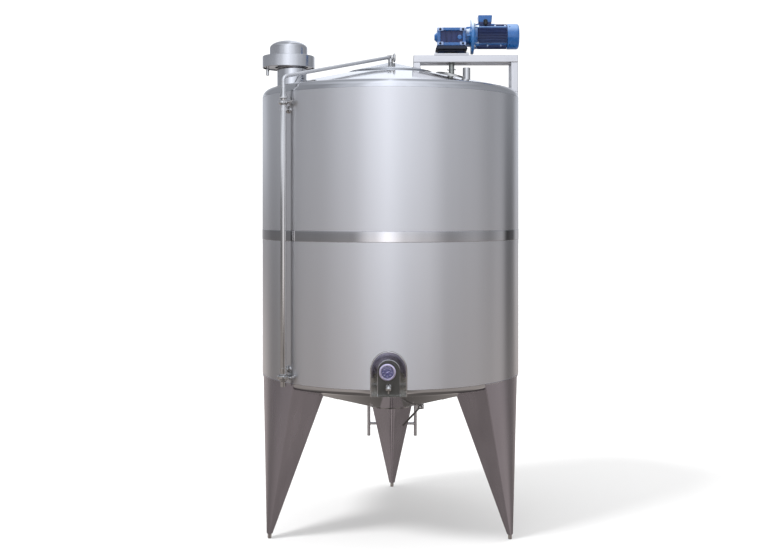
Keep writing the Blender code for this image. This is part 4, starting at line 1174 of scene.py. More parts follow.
def clamp(bm, node, turn):
    """Adds a pipe clamp with its hinge and wing nut, in the place of a frame node."""
    centre = middle(node)
    half = (high(node).z - low(node).z) / 2
    outer = high(node).x - centre.x
    clamp_ring(bm, centre, half, outer)
    swing = Matrix.Translation(centre) @ Matrix.Rotation(math.radians(turn), 4, "Z")
    lug = outer * 0.26
    block(bm, (outer * 0.86, -lug, -half * 0.72), (outer * 1.3, -0.002, half * 0.72), 0.0015, swing)
    block(bm, (outer * 0.86, 0.002, -half * 0.72), (outer * 1.3, lug, half * 0.72), 0.0015, swing)
    stud = swing @ Vector((outer * 1.12, lug + 0.012, 0))
    wing_nut(bm, stud, swing.to_3x3() @ Vector((0, 1, 0)), outer * 0.62)
    block(bm, (-outer * 1.16, -lug, -half * 0.6), (-outer * 0.86, lug, half * 0.6), 0.0015, swing)
    pin = swing @ Vector((-outer * 1.06, 0, -half * 0.8)), swing @ Vector((-outer * 1.06, 0, half * 0.8))
    bar(bm, *pin, outer * 0.08, 12)


def pipe_route():
    """Middle line of the pipe that rises, bends and runs over the roof to the crown."""
    start = middle("riser_reducer")
    foot = Vector((start.x, start.y, high("riser_reducer").z + SEAM))
    tee = Vector((0, 0, high("spray_tee").z - 0.012))
    corner = Vector((start.x, start.y, tee.z - 0.211))
    along = (tee - corner).normalized()
    bend = 0.030
    near, far = corner - Vector((0, 0, bend)), corner + along * bend
    points = [foot]
    for k in range(13):
        t = k / 12
        points.append(near * (1 - t) ** 2 + corner * 2 * t * (1 - t) + far * t ** 2)
    points.append(tee - along * 0.021)
    return points, tee, along


def build_riser():
    """Cleaning riser with its fittings, the pipe over the roof, and the stand-offs."""
    riser_pipe()
    roof_pipe()
    stand_offs()


def riser_pipe():
    """Upright pipe with its inlet ferrule, two clamps and reducer."""
    pipe_box = middle("cip_riser")
    radius = high("cip_riser").x - pipe_box.x
    place = Matrix.Translation((pipe_box.x, pipe_box.y, 0))
    bm = bmesh.new()
    start, end = low("cip_riser").z, high("cip_riser").z
    lip = 0.0252
    flare = lip - 0.001
    lathe(bm, [(0, end), (flare, end), (flare, end - 0.002), (radius, end - 0.007), (radius, start + 0.007),
               (flare, start + 0.002), (flare, start), (0, start)], place, 40)
    solid("riser_tube", bm, bright_tube, "pipe_steel", "cip_riser")
    bm = bmesh.new()
    start, end = low("riser_ferrule").z, high("riser_ferrule").z
    lathe(bm, [(0, end), (lip, end), (lip, end - 0.004), (radius, end - 0.011), (radius, start),
               (radius - 0.002, start), (radius - 0.002, end - 0.02), (0, end - 0.02)], place, 40)
    solid("inlet_ferrule", bm, bright_tube, "pipe_steel", "riser_ferrule")
    for node, turn in (("riser_clamp_low", -58.0), ("riser_clamp_high", -64.0)):
        bm = bmesh.new()
        clamp(bm, node, turn)
        solid(node.replace("riser", "pipe"), bm, bright_tube, "pipe_steel", node)
    bm = bmesh.new()
    start, end = low("riser_reducer").z, high("riser_reducer").z
    lathe(bm, [(0, end), (0.0150, end), (0.0165, end - 0.002), (0.0165, end - 0.023), (0.0175, end - 0.030),
               (0.0225, end - 0.048), (0.026, end - 0.053), (0.0265, end - 0.060), (0.026, end - 0.067),
               (0.021, end - 0.070), (0.020, start), (0, start)], place, 40)
    solid("pipe_reducer", bm, bright_tube, "pipe_steel", "riser_reducer")


def roof_pipe():
    """Thin pipe over the roof, with the spray hub and its cap."""
    points, tee, along = pipe_route()
    thin = 0.0125
    bm = bmesh.new()
    tube(bm, points, thin, 28)
    collars = ((points[1], Vector((0, 0, 1))), (points[-2], along), (points[-1] - along * 0.012, along))
    for spot, way in collars:
        clamp_ring(bm, spot, 0.004, thin + 0.0012, way)
    solid("roof_pipe", bm, pickled_tube, "pipe_steel", "cip_roof_pipe")

    bm = bmesh.new()
    body = high("spray_tee").y
    lathe(bm, [(0, tee.z + 0.012), (body - 0.005, tee.z + 0.012), (body, tee.z + 0.006),
               (body, APEX_Z - 0.01), (0, APEX_Z - 0.01)], sides=40)
    bar(bm, tee, tee - along * 0.024, 0.0155, 32, 0.001)
    bar(bm, tee - Vector((0, 0, 0.002)), tee + Vector((0.0185, 0, -0.002)), 0.016, 32, 0.001)
    hub = carve(plain_object("spray_hub", bm), over_vessel())
    dress(hub, bright_tube, "pipe_steel", "spray_tee")
    cap = middle("spray_tee_cap")
    bm = bmesh.new()
    half = high("spray_tee_cap").x - cap.x
    size = high("spray_tee_cap").z - cap.z
    lathe(bm, [(0, half), (size * 0.7, half), (size * 0.76, half * 0.7), (size * 0.94, half * 0.6),
               (size, half * 0.3), (size, -half * 0.3), (size * 0.94, -half * 0.6), (size * 0.76, -half),
               (0, -half)],
          towards(cap, (1, 0, 0)), 48)
    solid("spray_cap", bm, bright_tube, "pipe_steel", "spray_tee_cap")


def stand_offs():
    """Two stand-offs that hold the riser on the wall."""
    pipe_box = middle("cip_riser")
    radius = high("cip_riser").x - pipe_box.x
    out = Vector((pipe_box.x, pipe_box.y, 0)).normalized()
    for end in ("low", "high"):
        node = f"riser_bracket_{end}"
        height = Vector((0, 0, middle(node).z))
        root = out * (RADIUS + 0.0008)
        tip = Vector((pipe_box.x, pipe_box.y, 0)) - out * (radius + 0.001)
        bm = bmesh.new()
        bar(bm, root + height, tip + height, 0.009, 20)
        lathe(bm, [(0, 0.009), (0.012, 0.009), (0.024, 0.004), (0.024, -0.006), (0, -0.006)],
              towards(root + height, out), 32)
        lathe(bm, [(radius + 0.0045, 0.011), (radius + 0.0045, -0.011), (radius + 0.0006, -0.011),
                   (radius + 0.0006, 0.011)], Matrix.Translation((pipe_box.x, pipe_box.y, height.z)), 40,
              closed=True)
        solid(f"stand_off_{end}", bm, bright_tube, "pipe_steel", node)


# Agitator frame, seal and shaft
def build_frame():
    """Square-tube frame on the roof with its gearbox plate, bolts and foot welds."""
    posts = [f"frame_post_{side}_{depth}" for side in ("left", "right") for depth in ("front", "rear")]
    rails = ["frame_beam_front", "frame_beam_rear", "frame_tie_left", "frame_tie_right"]
    bm = bmesh.new()
    for node in rails:
        block(bm, low(node), high(node), 0.0045, segments=3)
    solid("frame_rails", bm, brushed_frame_tube, "leg_steel", *rails)
    for node in posts:
        bm = bmesh.new()
        start = low(node)
        block(bm, (start.x, start.y, start.z - 0.02), high(node), 0.0045, segments=3)
        post = carve(plain_object(node.replace("frame_post", "post"), bm), over_vessel())
        dress(post, brushed_frame_tube, "leg_steel", node)
        half = (high(node).x - start.x) / 2
        centre = middle(node)
        square = [(half, half), (-half, half), (-half, -half), (half, -half)]
        foot = []
        for one, two in zip(square, square[1:] + square[:1]):
            for k in range(6):
                x = centre.x + one[0] + (two[0] - one[0]) * k / 6
                y = centre.y + one[1] + (two[1] - one[1]) * k / 6
                foot.append(Vector((x, y, top_z(math.hypot(x, y)))))
        seam = weld(node.replace("frame_post", "weld"), foot, shape().weld)
        dress(seam, bright_tube, "pipe_steel")
    start, end = low("frame_plate"), high("frame_plate")
    bm = bmesh.new()
    block(bm, start, end, 0.0012)
    plate = plain_object("gearbox_plate", bm)
    hole = bmesh.new()
    bar(hole, (AGITATOR_X, 0, start.z - 0.01), (AGITATOR_X, 0, end.z + 0.01), SHAFT_BORE, 48)
    dress(carve(plate, plain_object("hole", hole)), brushed_frame_tube, "leg_steel", "frame_plate")
    inset = 0.011
    bolts = []
    for x in (start.x + inset, end.x - inset):
        bolts.append(in_row("plate_bolts", Matrix.Translation((x, start.y + inset + 0.012, end.z)),
                            hex_bolt(0.013), 3, (0.0, (end.y - start.y - 2 * inset - 0.024) / 2, 0.0)))
    dress(merged("plate_bolts", bolts), zinc_screw, "pipe_steel")


def merged(name, pieces):
    """Joins plain objects into one new object."""
    bm = bmesh.new()
    for piece in pieces:
        bm.from_mesh(piece.data)
        bpy.data.objects.remove(piece, do_unlink=True)
    return plain_object(name, bm)


PAD_RADIUS = 0.120


def pad_place():
    """Matrix on the roof cone under the drive, with +Z square to the sheet."""
    tilt = math.atan(ROOF_SLOPE)
    return towards((AGITATOR_X, 0, roof_z(AGITATOR_X)), (math.sin(tilt), 0, math.cos(tilt)))


def build_agitator():
    """Seal housing on its roof pad, the shaft with its impeller, and the nozzle beside it."""
    shaft_seal()
    agitator_shaft()
    roof_nozzle()


def shaft_seal():
    """Seal housing with its bolts on a round pad."""
    pad = PAD_RADIUS
    seal = 0.041
    # It starts inside the vessel and is cut to its roof
    inside = 3.09
    top = high("seal_housing").z
    bm = bmesh.new()
    lathe(bm, [(0, 0.020), (pad - 0.014, 0.020), (pad - 0.005, 0.017), (pad, 0.010), (pad, -0.03),
               (0, -0.03)], pad_place(), 96)
    lathe(bm, [(0, top), (seal - 0.006, top), (seal - 0.001, top - 0.003), (seal, top - 0.009),
               (seal, top - 0.020), (seal - 0.006, top - 0.028), (seal - 0.010, top - 0.034),
               (seal - 0.010, top - 0.052), (seal + 0.004, top - 0.066), (seal + 0.004, inside),
               (0, inside)],
          Matrix.Translation((AGITATOR_X, 0, 0)), 64)
    hole = bmesh.new()
    bar(hole, (AGITATOR_X, 0, WALL_HIGH), (AGITATOR_X, 0, APEX_Z + 0.2), SHAFT_BORE, 48)
    housing = carve(plain_object("shaft_seal", bm), over_vessel(), plain_object("hole", hole))
    dress(housing, half_polished_sheet, "polished_steel", "seal_housing")
    studs = on_ring("seal_bolts", Matrix.Translation((AGITATOR_X, 0, top - 0.004)), hex_bolt(0.008), 6,
                    seal - 0.010, start=0.3)
    dress(studs, zinc_screw, "pipe_steel")


def agitator_shaft():
    """Shaft with its hub and three blades."""
    start, end = low("agitator_shaft").z, high("agitator_shaft").z
    radius = SHAFT_RADIUS
    bm = bmesh.new()
    lathe(bm, [(0, end), (radius - 0.001, end), (radius, end - 0.001), (radius, start + 0.004),
               (radius - 0.004, start), (0, start)], Matrix.Translation((AGITATOR_X, 0, 0)), 48)
    hub = start + 0.055
    lathe(bm, [(radius - 0.002, hub + 0.035), (0.032, hub + 0.035), (0.036, hub + 0.030),
               (0.036, hub - 0.030), (0.032, hub - 0.035), (radius - 0.002, hub - 0.035)],
          Matrix.Translation((AGITATOR_X, 0, 0)), 48, closed=True)
    for k in range(3):
        turn = Matrix.Rotation(math.radians(120 * k), 4, "Z") @ Matrix.Rotation(math.radians(50), 4, "X")
        block(bm, (0.025, -0.003, -0.028), (0.160, 0.003, 0.028), 0.0025,
              Matrix.Translation((AGITATOR_X, 0, hub)) @ turn)
    solid("agitator_shaft_impeller", bm, ground_shaft, "pipe_steel", "agitator_shaft", body="agitator")


def roof_nozzle():
    """Short open nozzle beside the seal's pad."""
    # It starts inside the vessel and is cut to its roof
    inside = 3.0
    stub = middle("roof_nozzle")
    outer = high("roof_nozzle").x - stub.x
    top = high("roof_nozzle").z
    bm = bmesh.new()
    lathe(bm, [(NOZZLE_BORE, top), (outer - 0.001, top), (outer, top - 0.001), (outer, top - 0.085),
               (outer + 0.004, top - 0.100), (outer + 0.012, top - 0.112),
               (outer + 0.012, inside), (NOZZLE_BORE, inside)],
          Matrix.Translation((stub.x, stub.y, 0)), 64, closed=True)
    room = bmesh.new()
    pad = PAD_RADIUS + SEAM
    lathe(room, [(0, 0.0203), (pad, 0.0203), (pad, -0.05), (0, -0.05)], pad_place(), 96)
    nozzle = carve(plain_object("nozzle_stub", bm), over_vessel(), plain_object("room", room))
    dress(nozzle, bright_tube, "pipe_steel", "roof_nozzle")


# Drive
def build_gearbox():
    """Gearbox on its black cast stand."""
    gearbox_stand()
    gearbox_housing()
    gearbox_pads()


def gearbox_stand():
    """Waisted cast stand with an arched opening through its foot."""
    start, end = low("gearbox_base"), high("gearbox_base")
    centre = (start + end) / 2
    half = (end - start) / 2
    bm = bmesh.new()
    rings = []
    for share, pinch in ((0.0, 0.0), (0.10, -0.001), (0.20, 0.004), (0.34, 0.014), (0.46, 0.014),
                         (0.52, -0.008), (0.62, -0.010), (0.96, -0.002), (1.0, 0.003)):
        rings.append(box_ring(start, end, pinch, start.z + (end.z - start.z) * share, 0.010))
    loft(bm, rings)
    arch_room = bmesh.new()
    width, rise = 0.056, 0.014
    outline = [(width, -0.01), (width, 0.0)]
    turns = [math.pi * k / 12 for k in range(1, 12)]
    outline += [(width * math.cos(a), rise * math.sin(a)) for a in turns]
    outline += [(-width, 0.0), (-width, -0.01)]
    loft(arch_room, [[Vector((centre.x - 0.004 + p[0], y, start.z + p[1])) for p in outline]
                     for y in (-half.y - 0.02, half.y + 0.02)])
    stand = carve(plain_object("gearbox_stand", bm), plain_object("arch_room", arch_room))
    dress(stand, black_enamel, "black_paint", "gearbox_base")


def gearbox_housing():
    """Housing with recessed, ribbed sides and an end cap."""
    start, end = low("gearbox"), high("gearbox")
    centre = (start + end) / 2
    sink = 0.018
    strip = 0.021
    column = 0.024
    bm = bmesh.new()
    for z in (start.z, end.z - strip):
        block(bm, (start.x + 0.001, start.y + 0.004, z), (end.x - 0.001, end.y - 0.004, z + strip), 0.003)
    for x in (start.x + 0.002, end.x - column):
        block(bm, (x, start.y + 0.008, start.z + 0.006),
              (x + column - 0.002, end.y - 0.008, end.z - 0.006), 0.004)
    for side in (-1, 1):
        y = centre.y + side * ((end.y - start.y) / 2 - sink)
        lathe(bm, [(0, 0.007), (0.012, 0.007), (0.016, 0.004), (0.016, 0), (0, 0)],
              towards((end.x - column - 0.020, y, centre.z - 0.004), (0, side, 0)), 32)
    cap = towards((start.x + 0.003, centre.y, centre.z + 0.004), (-1, 0, 0))
    lathe(bm, [(0, 0.021), (0.019, 0.021), (0.023, 0.018), (0.036, 0.003), (0.036, 0), (0, 0)], cap, 40)
    solid("gearbox_housing", bm, blue_enamel, "blue_paint", "gearbox", crease=30.0)
    # The core takes the darker enamel copy: painted shade in the recessed sides.
    bm = bmesh.new()
    block(bm, (start.x + 0.006, start.y + sink, start.z + 0.004),
          (end.x - 0.006, end.y - sink, end.z - 0.004), 0.004)
    for side in (-1, 1):
        y = centre.y + side * ((end.y - start.y) / 2 - sink)
        for k in range(3):
            x = start.x + column + 0.040 + 0.036 * k
            block(bm, (x - 0.002, y - 0.006, start.z + strip), (x + 0.002, y + 0.006, end.z - strip), 0.001)
    solid("gearbox_core", bm, blue_enamel_deep, "blue_paint", crease=30.0)


def gearbox_pads():
    """Pale pads on the corners, their colour a painted highlight, with their dark screws."""
    start, end = low("gearbox"), high("gearbox")
    centre = (start + end) / 2
    pads = bmesh.new()
    screws = []
    wide, tall = 0.044, 0.022
    first, last = start.x + wide / 2, end.x - wide / 2
    for side in (-1, 1):
        face_y = centre.y + side * (end.y - start.y) / 2
        for z in (start.z + tall / 2 + 0.003, end.z - tall / 2 - 0.002):
            for x in (first, last):
                block(pads, (x - wide / 2, face_y - side * 0.020, z - tall / 2),
                      (x + wide / 2, face_y, z + tall / 2), 0.0035)
            place = towards((first, face_y, z), (0, side, 0))
            way = place.to_3x3().inverted() @ Vector((last - first, 0, 0))
            screws.append(in_row("gearbox_screws", place @ Matrix.Translation((0, 0, -0.001)),
                                 hex_bolt(0.011, 0.35), 2, tuple(way)))
    solid("gearbox_pads", pads, machined_pad, "blue_paint", crease=30.0)
    dress(merged("gearbox_screws", screws), dark_screw, "black_paint")


def build_motor():
    """Motor: flange, finned body, fan hood and terminal box, placed along the shaft's line."""
    axis_z = middle("motor_flange").z
    left = low("motor_flange").x
    place = towards((left, 0, axis_z), (1, 0, 0))
    body_start = low("motor_body").x - left
    body_end = high("motor_body").x - left
    outer = high("motor_body").z - axis_z
    motor_flange(place, high("motor_flange").z - axis_z, body_start)
    motor_body(place, outer, body_start, body_end)
    fan_hood(place, high("fan_cover").z - axis_z, body_end, high("fan_cover").x - left)
    terminal_box(axis_z + outer)


def motor_flange(place, wide, body_start):
    """Neck and flange with their webs and bolts."""
    neck = 0.055
    front, back = 0.035, 0.055
    bm = bmesh.new()
    lathe(bm, [(0, body_start), (0.088, body_start), (0.092, back + 0.006), (0.104, back + 0.002),
               (wide - 0.003, back), (wide, back - 0.003), (wide, front + 0.003), (wide - 0.003, front),
               (0.078, front - 0.001), (neck + 0.006, front - 0.006), (neck, front - 0.014), (neck, 0.0),
               (0, 0.0)], place, 96)
    for k in range(4):
        swing = place @ Matrix.Rotation(math.radians(45 + 90 * k), 4, "Z")
        block(bm, (0.070, -0.012, back), (0.0925, 0.012, 0.092), 0.003, swing)
        block(bm, (neck - 0.012, -0.008, 0.004), (neck + 0.016, 0.008, front - 0.001), 0.003,
              place @ Matrix.Rotation(math.radians(90 * k), 4, "Z"))
    # The flange's pale upper half is a painted highlight.
    solid("motor_flange_bell", bm, blue_enamel_rubbed, "blue_paint", "motor_flange", crease=30.0)
    bolts = on_ring("flange_bolts", place @ Matrix.Translation((0, 0, back)), hex_bolt(0.015), 4, 0.1075,
                    start=math.radians(45))
    dress(bolts, zinc_screw, "pipe_steel")


def motor_body(place, outer, body_start, body_end):
    """Barrel with four sets of fins, ribs, pale pads with a painted highlight and the seat of the terminal
    box.
    """
    core = outer - 0.013
    run = body_end - body_start
    # Core and fins take the darker enamel copy: painted shade between the fins.
    bm = bmesh.new()
    lathe(bm, [(0, body_end), (core, body_end), (core, body_start), (0, body_start)], place, 72)
    solid("motor_core", bm, blue_enamel_deep, "blue_paint", "motor_body", crease=30.0)
    fins = []
    for middle_angle in (0.0, 90.0, 180.0, 270.0):
        fin = bmesh.new()
        block(fin, (-0.014, -0.00125, 0.0), (0.0, 0.00125, run - 0.020), 0.0006, segments=1)
        fins.append(on_ring("motor_fins", place @ Matrix.Translation((0, 0, body_start + 0.016)),
                            plain_object("fin", fin), 11, outer, start=math.radians(middle_angle - 37.5),
                            sweep=math.radians(82.5)))
    dress(merged("motor_fins", fins), blue_enamel_deep, "blue_paint")
    bm = bmesh.new()
    lathe(bm, [(core - 0.002, body_start + 0.014), (outer, body_start + 0.013), (outer, body_start + 0.001),
               (core - 0.002, body_start)], place, 72, closed=True)
    for angle in (45.0, 135.0, 225.0, 315.0):
        swing = place @ Matrix.Rotation(math.radians(angle), 4, "Z")
        block(bm, (core - 0.004, -0.0045, body_start + 0.012), (outer - 0.001, 0.0045, body_end - 0.004),
              0.0015, swing)
    left, _, axis_z = place.translation
    block(bm, (left + body_start + 0.004, -0.040, axis_z + core - 0.004),
          (left + body_start + run * 0.62, 0.040, axis_z + outer - 0.001), 0.004)
    solid("motor_ribs", bm, blue_enamel, "blue_paint", crease=30.0)
    bm = bmesh.new()
    for angle, shares in ((145.0, (0.05, 0.62, 0.93)), (215.0, (0.05, 0.62, 0.93)), (35.0, (0.38, 0.80)),
                          (325.0, (0.38, 0.80))):
        swing = place @ Matrix.Rotation(math.radians(angle), 4, "Z")
        for share in shares:
            along = body_start + run * share
            block(bm, (core, -0.006, along - 0.006), (outer + 0.001, 0.006, along + 0.006), 0.002, swing)
    solid("motor_pads", bm, machined_pad, "blue_paint", crease=30.0)


def fan_hood(place, rim, body_end, end):
    """Fan hood with its air slots, drawn as flush dark patches of painted shade, and its screws."""
    bend = 0.018
    bm = bmesh.new()
    profile = [(0, end), (0.060, end), (0.062, end - 0.002), (0.066, end)]
    profile += arc((rim - bend, end - bend), bend, 90, 0, 8)
    lathe(bm, profile + [(rim, body_end + SEAM), (0, body_end + SEAM)], place, 96)
    solid("fan_hood", bm, blue_enamel, "blue_paint", "fan_cover", crease=30.0)
    # Each slot is a flush dark patch: painted shade of the opening.
    slots = []
    for radius, count in ((0.018, 10), (0.034, 18), (0.050, 26)):
        slot_piece = bmesh.new()
        block(slot_piece, (-0.0055, -0.0020, -0.002), (0.0055, 0.0020, 0.0), 0.0009, segments=1)
        slots.append(on_ring("hood_slots", place @ Matrix.Translation((0, 0, end + 0.00015)),
                             plain_object("slot", slot_piece), count, radius, start=0.1))
    dress(merged("hood_slots", slots), dark_screw, "black_paint")
    screws = on_ring("hood_screws", place @ Matrix.Translation((0, 0, body_end + 0.016)), side_screw(0.004),
                     4, rim - 0.0005, start=math.radians(48))
    dress(screws, dark_screw, "black_paint")


def terminal_box(top):
    """Terminal box on the motor's top, with its lid, gland and screws."""
    start, end = low("terminal_box"), high("terminal_box")
    seam = end.z - 0.046
    # The base takes the darker enamel copy: painted shade under the lid.
    bm = bmesh.new()
    levels = ((top - 0.008, 0.007), (seam - 0.004, 0.005), (seam - 0.002, 0.0065))
    loft(bm, [box_ring(start, end, inset, z) for z, inset in levels])
    solid("terminal_base", bm, blue_enamel_deep, "blue_paint", crease=30.0)
    bm = bmesh.new()
    levels = ((seam - 0.002, 0.0045), (seam, 0.0035), (end.z - 0.004, 0.0), (end.z - 0.001, 0.001),
              (end.z, 0.004))
    loft(bm, [box_ring(start, end, inset, z) for z, inset in levels])
    solid("terminal_lid", bm, blue_enamel, "blue_paint", "terminal_box", crease=30.0)
    bm = bmesh.new()
    x = start.x + 0.052
    gland = towards((x, start.y + 0.006, seam + 0.004), (0, -1, 0))
    lathe(bm, [(0, 0.006), (0.012, 0.006), (0.0155, 0.003), (0.0155, -0.003), (0, -0.003)], gland, 24)
    bar(bm, (x, start.y + 0.004, seam + 0.012), (x, start.y - 0.004, seam - 0.026), 0.011, 24, 0.002)
    lathe(bm, [(0, 0.008), (0.012, 0.008), (0.014, 0.006), (0.014, -0.006), (0.012, -0.008), (0, -0.008)],
          towards((x, start.y - 0.0015, seam - 0.013), (0, -0.2, -1)), 6)
    solid("cable_gland", bm, black_plastic, "black_paint", crease=20.0)
    lid = on_ring("lid_screws", Matrix.Translation(((start.x + end.x) / 2, 0, end.z - 0.0035)),
                  hex_bolt(0.006, 0.3, washer=False), 4, 0.056, start=math.radians(45))
    dress(lid, zinc_screw, "pipe_steel")


def box_ring(start, end, inset, z, radius=0.008):
    """A level outline of a box between two corners, drawn in and with rounded corners."""
    corners = [(end.x - inset, end.y - inset), (start.x + inset, end.y - inset),
               (start.x + inset, start.y + inset), (end.x - inset, start.y + inset)]
    return [Vector((p[0], p[1], z)) for p in rounded(corners, [radius] * len(corners), 5)]


def side_screw(radius):
    """A round screw head that faces along X."""
    bm = bmesh.new()
    lathe(bm, [(0, 0.0016), (radius * 0.7, 0.0015), (radius, 0.0003), (radius, -0.002), (0, -0.002)],
          towards((0, 0, 0), (1, 0, 0)), 16)
    return plain_object("side_screw", bm)


# Outlet
LEVER_HEIGHT = 0.7836
LEVER_SLOPE = 46.8


def build_outlet():
    """Outlet valve and its hand lever, about the lever's pivot."""
    pivot = Vector((middle("outlet_valve").x, 0.0, LEVER_HEIGHT))
    outlet_valve(pivot)
    hand_lever(pivot)


def outlet_valve(pivot):
    """Valve body with its neck, flanges, spindle and bolts."""
    start, end = low("outlet_valve"), high("outlet_valve")
    wide, deep, tall = 0.027, 0.030, 0.0285
    centre = Vector((pivot.x, end.y - deep, pivot.z))
    base = 0.782
    inside = 0.90
    bm = bmesh.new()
    block(bm, (centre.x - wide, centre.y - deep, base - tall * 0.62),
          (centre.x + wide, centre.y + deep, base + tall * 0.62), 0.008, segments=3)
    for side in (-1, 1):
        lathe(bm, [(0, 0.004), (wide - 0.001, 0.004), (wide, 0.003), (wide, -0.003), (wide - 0.001, -0.004),
                   (0, -0.004)],
              towards((centre.x, centre.y, base + side * (tall - 0.004)), (0, 0, 1)), 40)
    place = Matrix.Translation((centre.x, centre.y, 0))
    lathe(bm, [(0, inside), (0.022, inside), (0.022, base), (0, base)], place, 40)
    lathe(bm, [(0, base), (0.019, base), (0.019, start.z + 0.010), (0.0252, start.z + 0.004),
               (0.0252, start.z), (0, start.z)], place, 40)
    face = centre.y - deep
    bar(bm, (pivot.x, face + 0.002, pivot.z), (pivot.x, face - 0.018, pivot.z), 0.008, 32, 0.001)
    lathe(bm, [(0, 0.005), (0.013, 0.005), (0.016, 0.002), (0.016, 0), (0, 0)],
          towards((pivot.x, face, pivot.z), (0, -1, 0)), 32)
    body = carve(plain_object("valve_body", bm), under_vessel())
    dress(body, pickled_tube, "pipe_steel", "outlet_valve", crease=30.0)
    bolts = on_ring("valve_bolts", Matrix.Translation((centre.x, centre.y, base + tall)), hex_bolt(0.006),
                    4, 0.0235, start=math.radians(45))
    dress(bolts, zinc_screw, "pipe_steel")


def hand_lever(pivot):
    """Flat hand lever on its boss."""
    front = low("valve_lever").y
    thick = high("valve_lever").y - front
    length = 0.183
    bm = bmesh.new()
    boss = Matrix.Translation((pivot.x, front + thick, pivot.z)) @ Matrix.Rotation(math.radians(90), 4, "X")
    lathe(bm, [(0.0084, thick), (0.0155, thick), (0.016, thick - 0.0005), (0.016, 0.0005), (0.0155, 0),
               (0.0084, 0)], boss, 40, closed=True)
    swing = Matrix.Translation((pivot.x, front, pivot.z))
    swing = swing @ Matrix.Rotation(math.radians(180 - LEVER_SLOPE), 4, "Y")
    outline = rounded([(length, 0.007), (0.010, 0.0065), (0.010, -0.0065), (length, -0.007)],
                      [0.0055] * 4, 6)
    loft(bm, [[swing @ Vector((p[0], y, p[1])) for p in outline] for y in (0.0012, thick - 0.0012)])
    solid("valve_hand_lever", bm, bright_tube, "pipe_steel", "valve_lever", body="lever", crease=30.0)


# Ladder
STAND_OFF_HEIGHTS = (1.250, 2.050, 2.850)
RUNG_COUNT = 10
RUNG_LOW = 0.488
RUNG_STEP = 0.280


def build_ladder():
    """Ladder rails, rungs and stand-offs with their wall pads."""
    start, end = low("ladder"), high("ladder")
    rail = 0.0125
    y = end.y - rail
    side = end.x - rail
    bm = bmesh.new()
    for x in (-side, side):
        bar(bm, (x, y, start.z), (x, y, end.z), rail, 32, 0.002)
        wall = math.sqrt(RADIUS ** 2 - x ** 2)
        for z in STAND_OFF_HEIGHTS:
            bar(bm, (x, wall + 0.0012, z), (x, y - rail * 0.7, z), 0.009, 24)
            lathe(bm, [(0.009, 0.006), (0.018, 0.004), (0.020, 0.0), (0.009, 0.0)],
                  towards((x, wall + 0.0045, z), (0, 1, 0)), 24, closed=True)
    solid("ladder_rails", bm, brushed_frame_tube, "leg_steel", "ladder")
    rung = bmesh.new()
    bar(rung, (-side + rail * 0.6, 0, 0), (side - rail * 0.6, 0, 0), 0.011, 24)
    for x in (-side + rail + 0.0015, side - rail - 0.0015):
        lathe(rung, [(0.0105, 0.0025), (0.0128, 0.001), (0.0128, -0.001), (0.0105, -0.0025)],
              towards((x, 0, 0), (1, 0, 0)), 20, closed=True)
    rungs = in_row("ladder_rungs", Matrix.Translation((0, y, RUNG_LOW)), plain_object("rung", rung),
                   RUNG_COUNT, (0.0, 0.0, RUNG_STEP))
    dress(rungs, brushed_frame_tube, "leg_steel")


# Instruments
def build_instruments():
    """Dial thermometer and sample cock in the alcove."""
    spot = middle("thermometer")
    back = high("thermometer").y
    place = towards((spot.x, back, spot.z), (0, -1, 0)) @ Matrix.Rotation(math.radians(180), 4, "Z")
    deep = back - low("thermometer").y
    face = 0.0395
    thermometer_case(place, deep, face, high("thermometer").x - spot.x)
    dial_marks(place, deep, face)
    dial_cover(place, deep, face)
    sample_cock()


def thermometer_case(place, deep, face, rim):
    """Case of the thermometer and its dial plate."""
    bm = bmesh.new()
    lathe(bm, [(0.0, deep - 0.012), (face, deep - 0.012), (face, deep - 0.004),
               (face + 0.002, deep - 0.0005), (face + 0.004, deep), (rim - 0.004, deep),
               (rim - 0.001, deep - 0.0015), (rim, deep - 0.005),
               (rim, deep - 0.019), (rim - 0.003, deep - 0.022), (0.020, deep - 0.024), (0.020, 0.004),
               (0.014, 0.0), (0.0, 0.0)], place, 96)
    solid("thermometer_case", bm, bezel_ring, "dial_face", "thermometer")
    bm = bmesh.new()
    lathe(bm, [(0, 0.001), (face - 0.0004, 0.001), (face - 0.0004, 0.0), (0, 0.0)],
          place @ Matrix.Translation((0, 0, deep - 0.0115)), 64)
    solid("dial_plate", bm, dial_enamel, "dial_face")


def dial_marks(place, deep, face):
    """Ticks and numbers of the dial."""
    marks = []
    for count, length, width in ((25, 0.0030, 0.0005), (7, 0.0052, 0.0010)):
        tick = bmesh.new()
        block(tick, (-length, -width / 2, 0), (0, width / 2, 0.0002))
        steps = count - 1
        marks.append(on_ring("dial_ticks", place @ Matrix.Translation((0, 0, deep - 0.0104)),
                             plain_object("tick", tick), count, face - 0.003, start=math.radians(225.0),
                             sweep=math.radians(-270.0) * count / steps))
    for k in range(7):
        text = bpy.data.curves.new("dial_number", "FONT")
        text.body = str(20 * k)
        text.size = 0.0085
        text.extrude = 0.0001
        text.align_x = "CENTER"
        text.align_y = "CENTER"
        letter = bpy.data.objects.new("dial_number", text)
        bpy.context.scene.collection.objects.link(letter)
        angle = math.radians(225.0 - 45.0 * k)
        reach = face - 0.0145
        spot = (reach * math.cos(angle), reach * math.sin(angle), deep - 0.0103)
        letter.matrix_world = place @ Matrix.Translation(spot)
        bpy.context.view_layer.update()
        graph = bpy.context.evaluated_depsgraph_get()
        mesh = bpy.data.meshes.new_from_object(letter.evaluated_get(graph))
        mesh.transform(letter.matrix_world)
        number = bpy.data.objects.new("dial_number", mesh)
        bpy.context.scene.collection.objects.link(number)
        bpy.data.objects.remove(letter, do_unlink=True)
        marks.append(number)
    dress(merged("dial_marks", marks), white_print, "dial_face", crease=20.0)


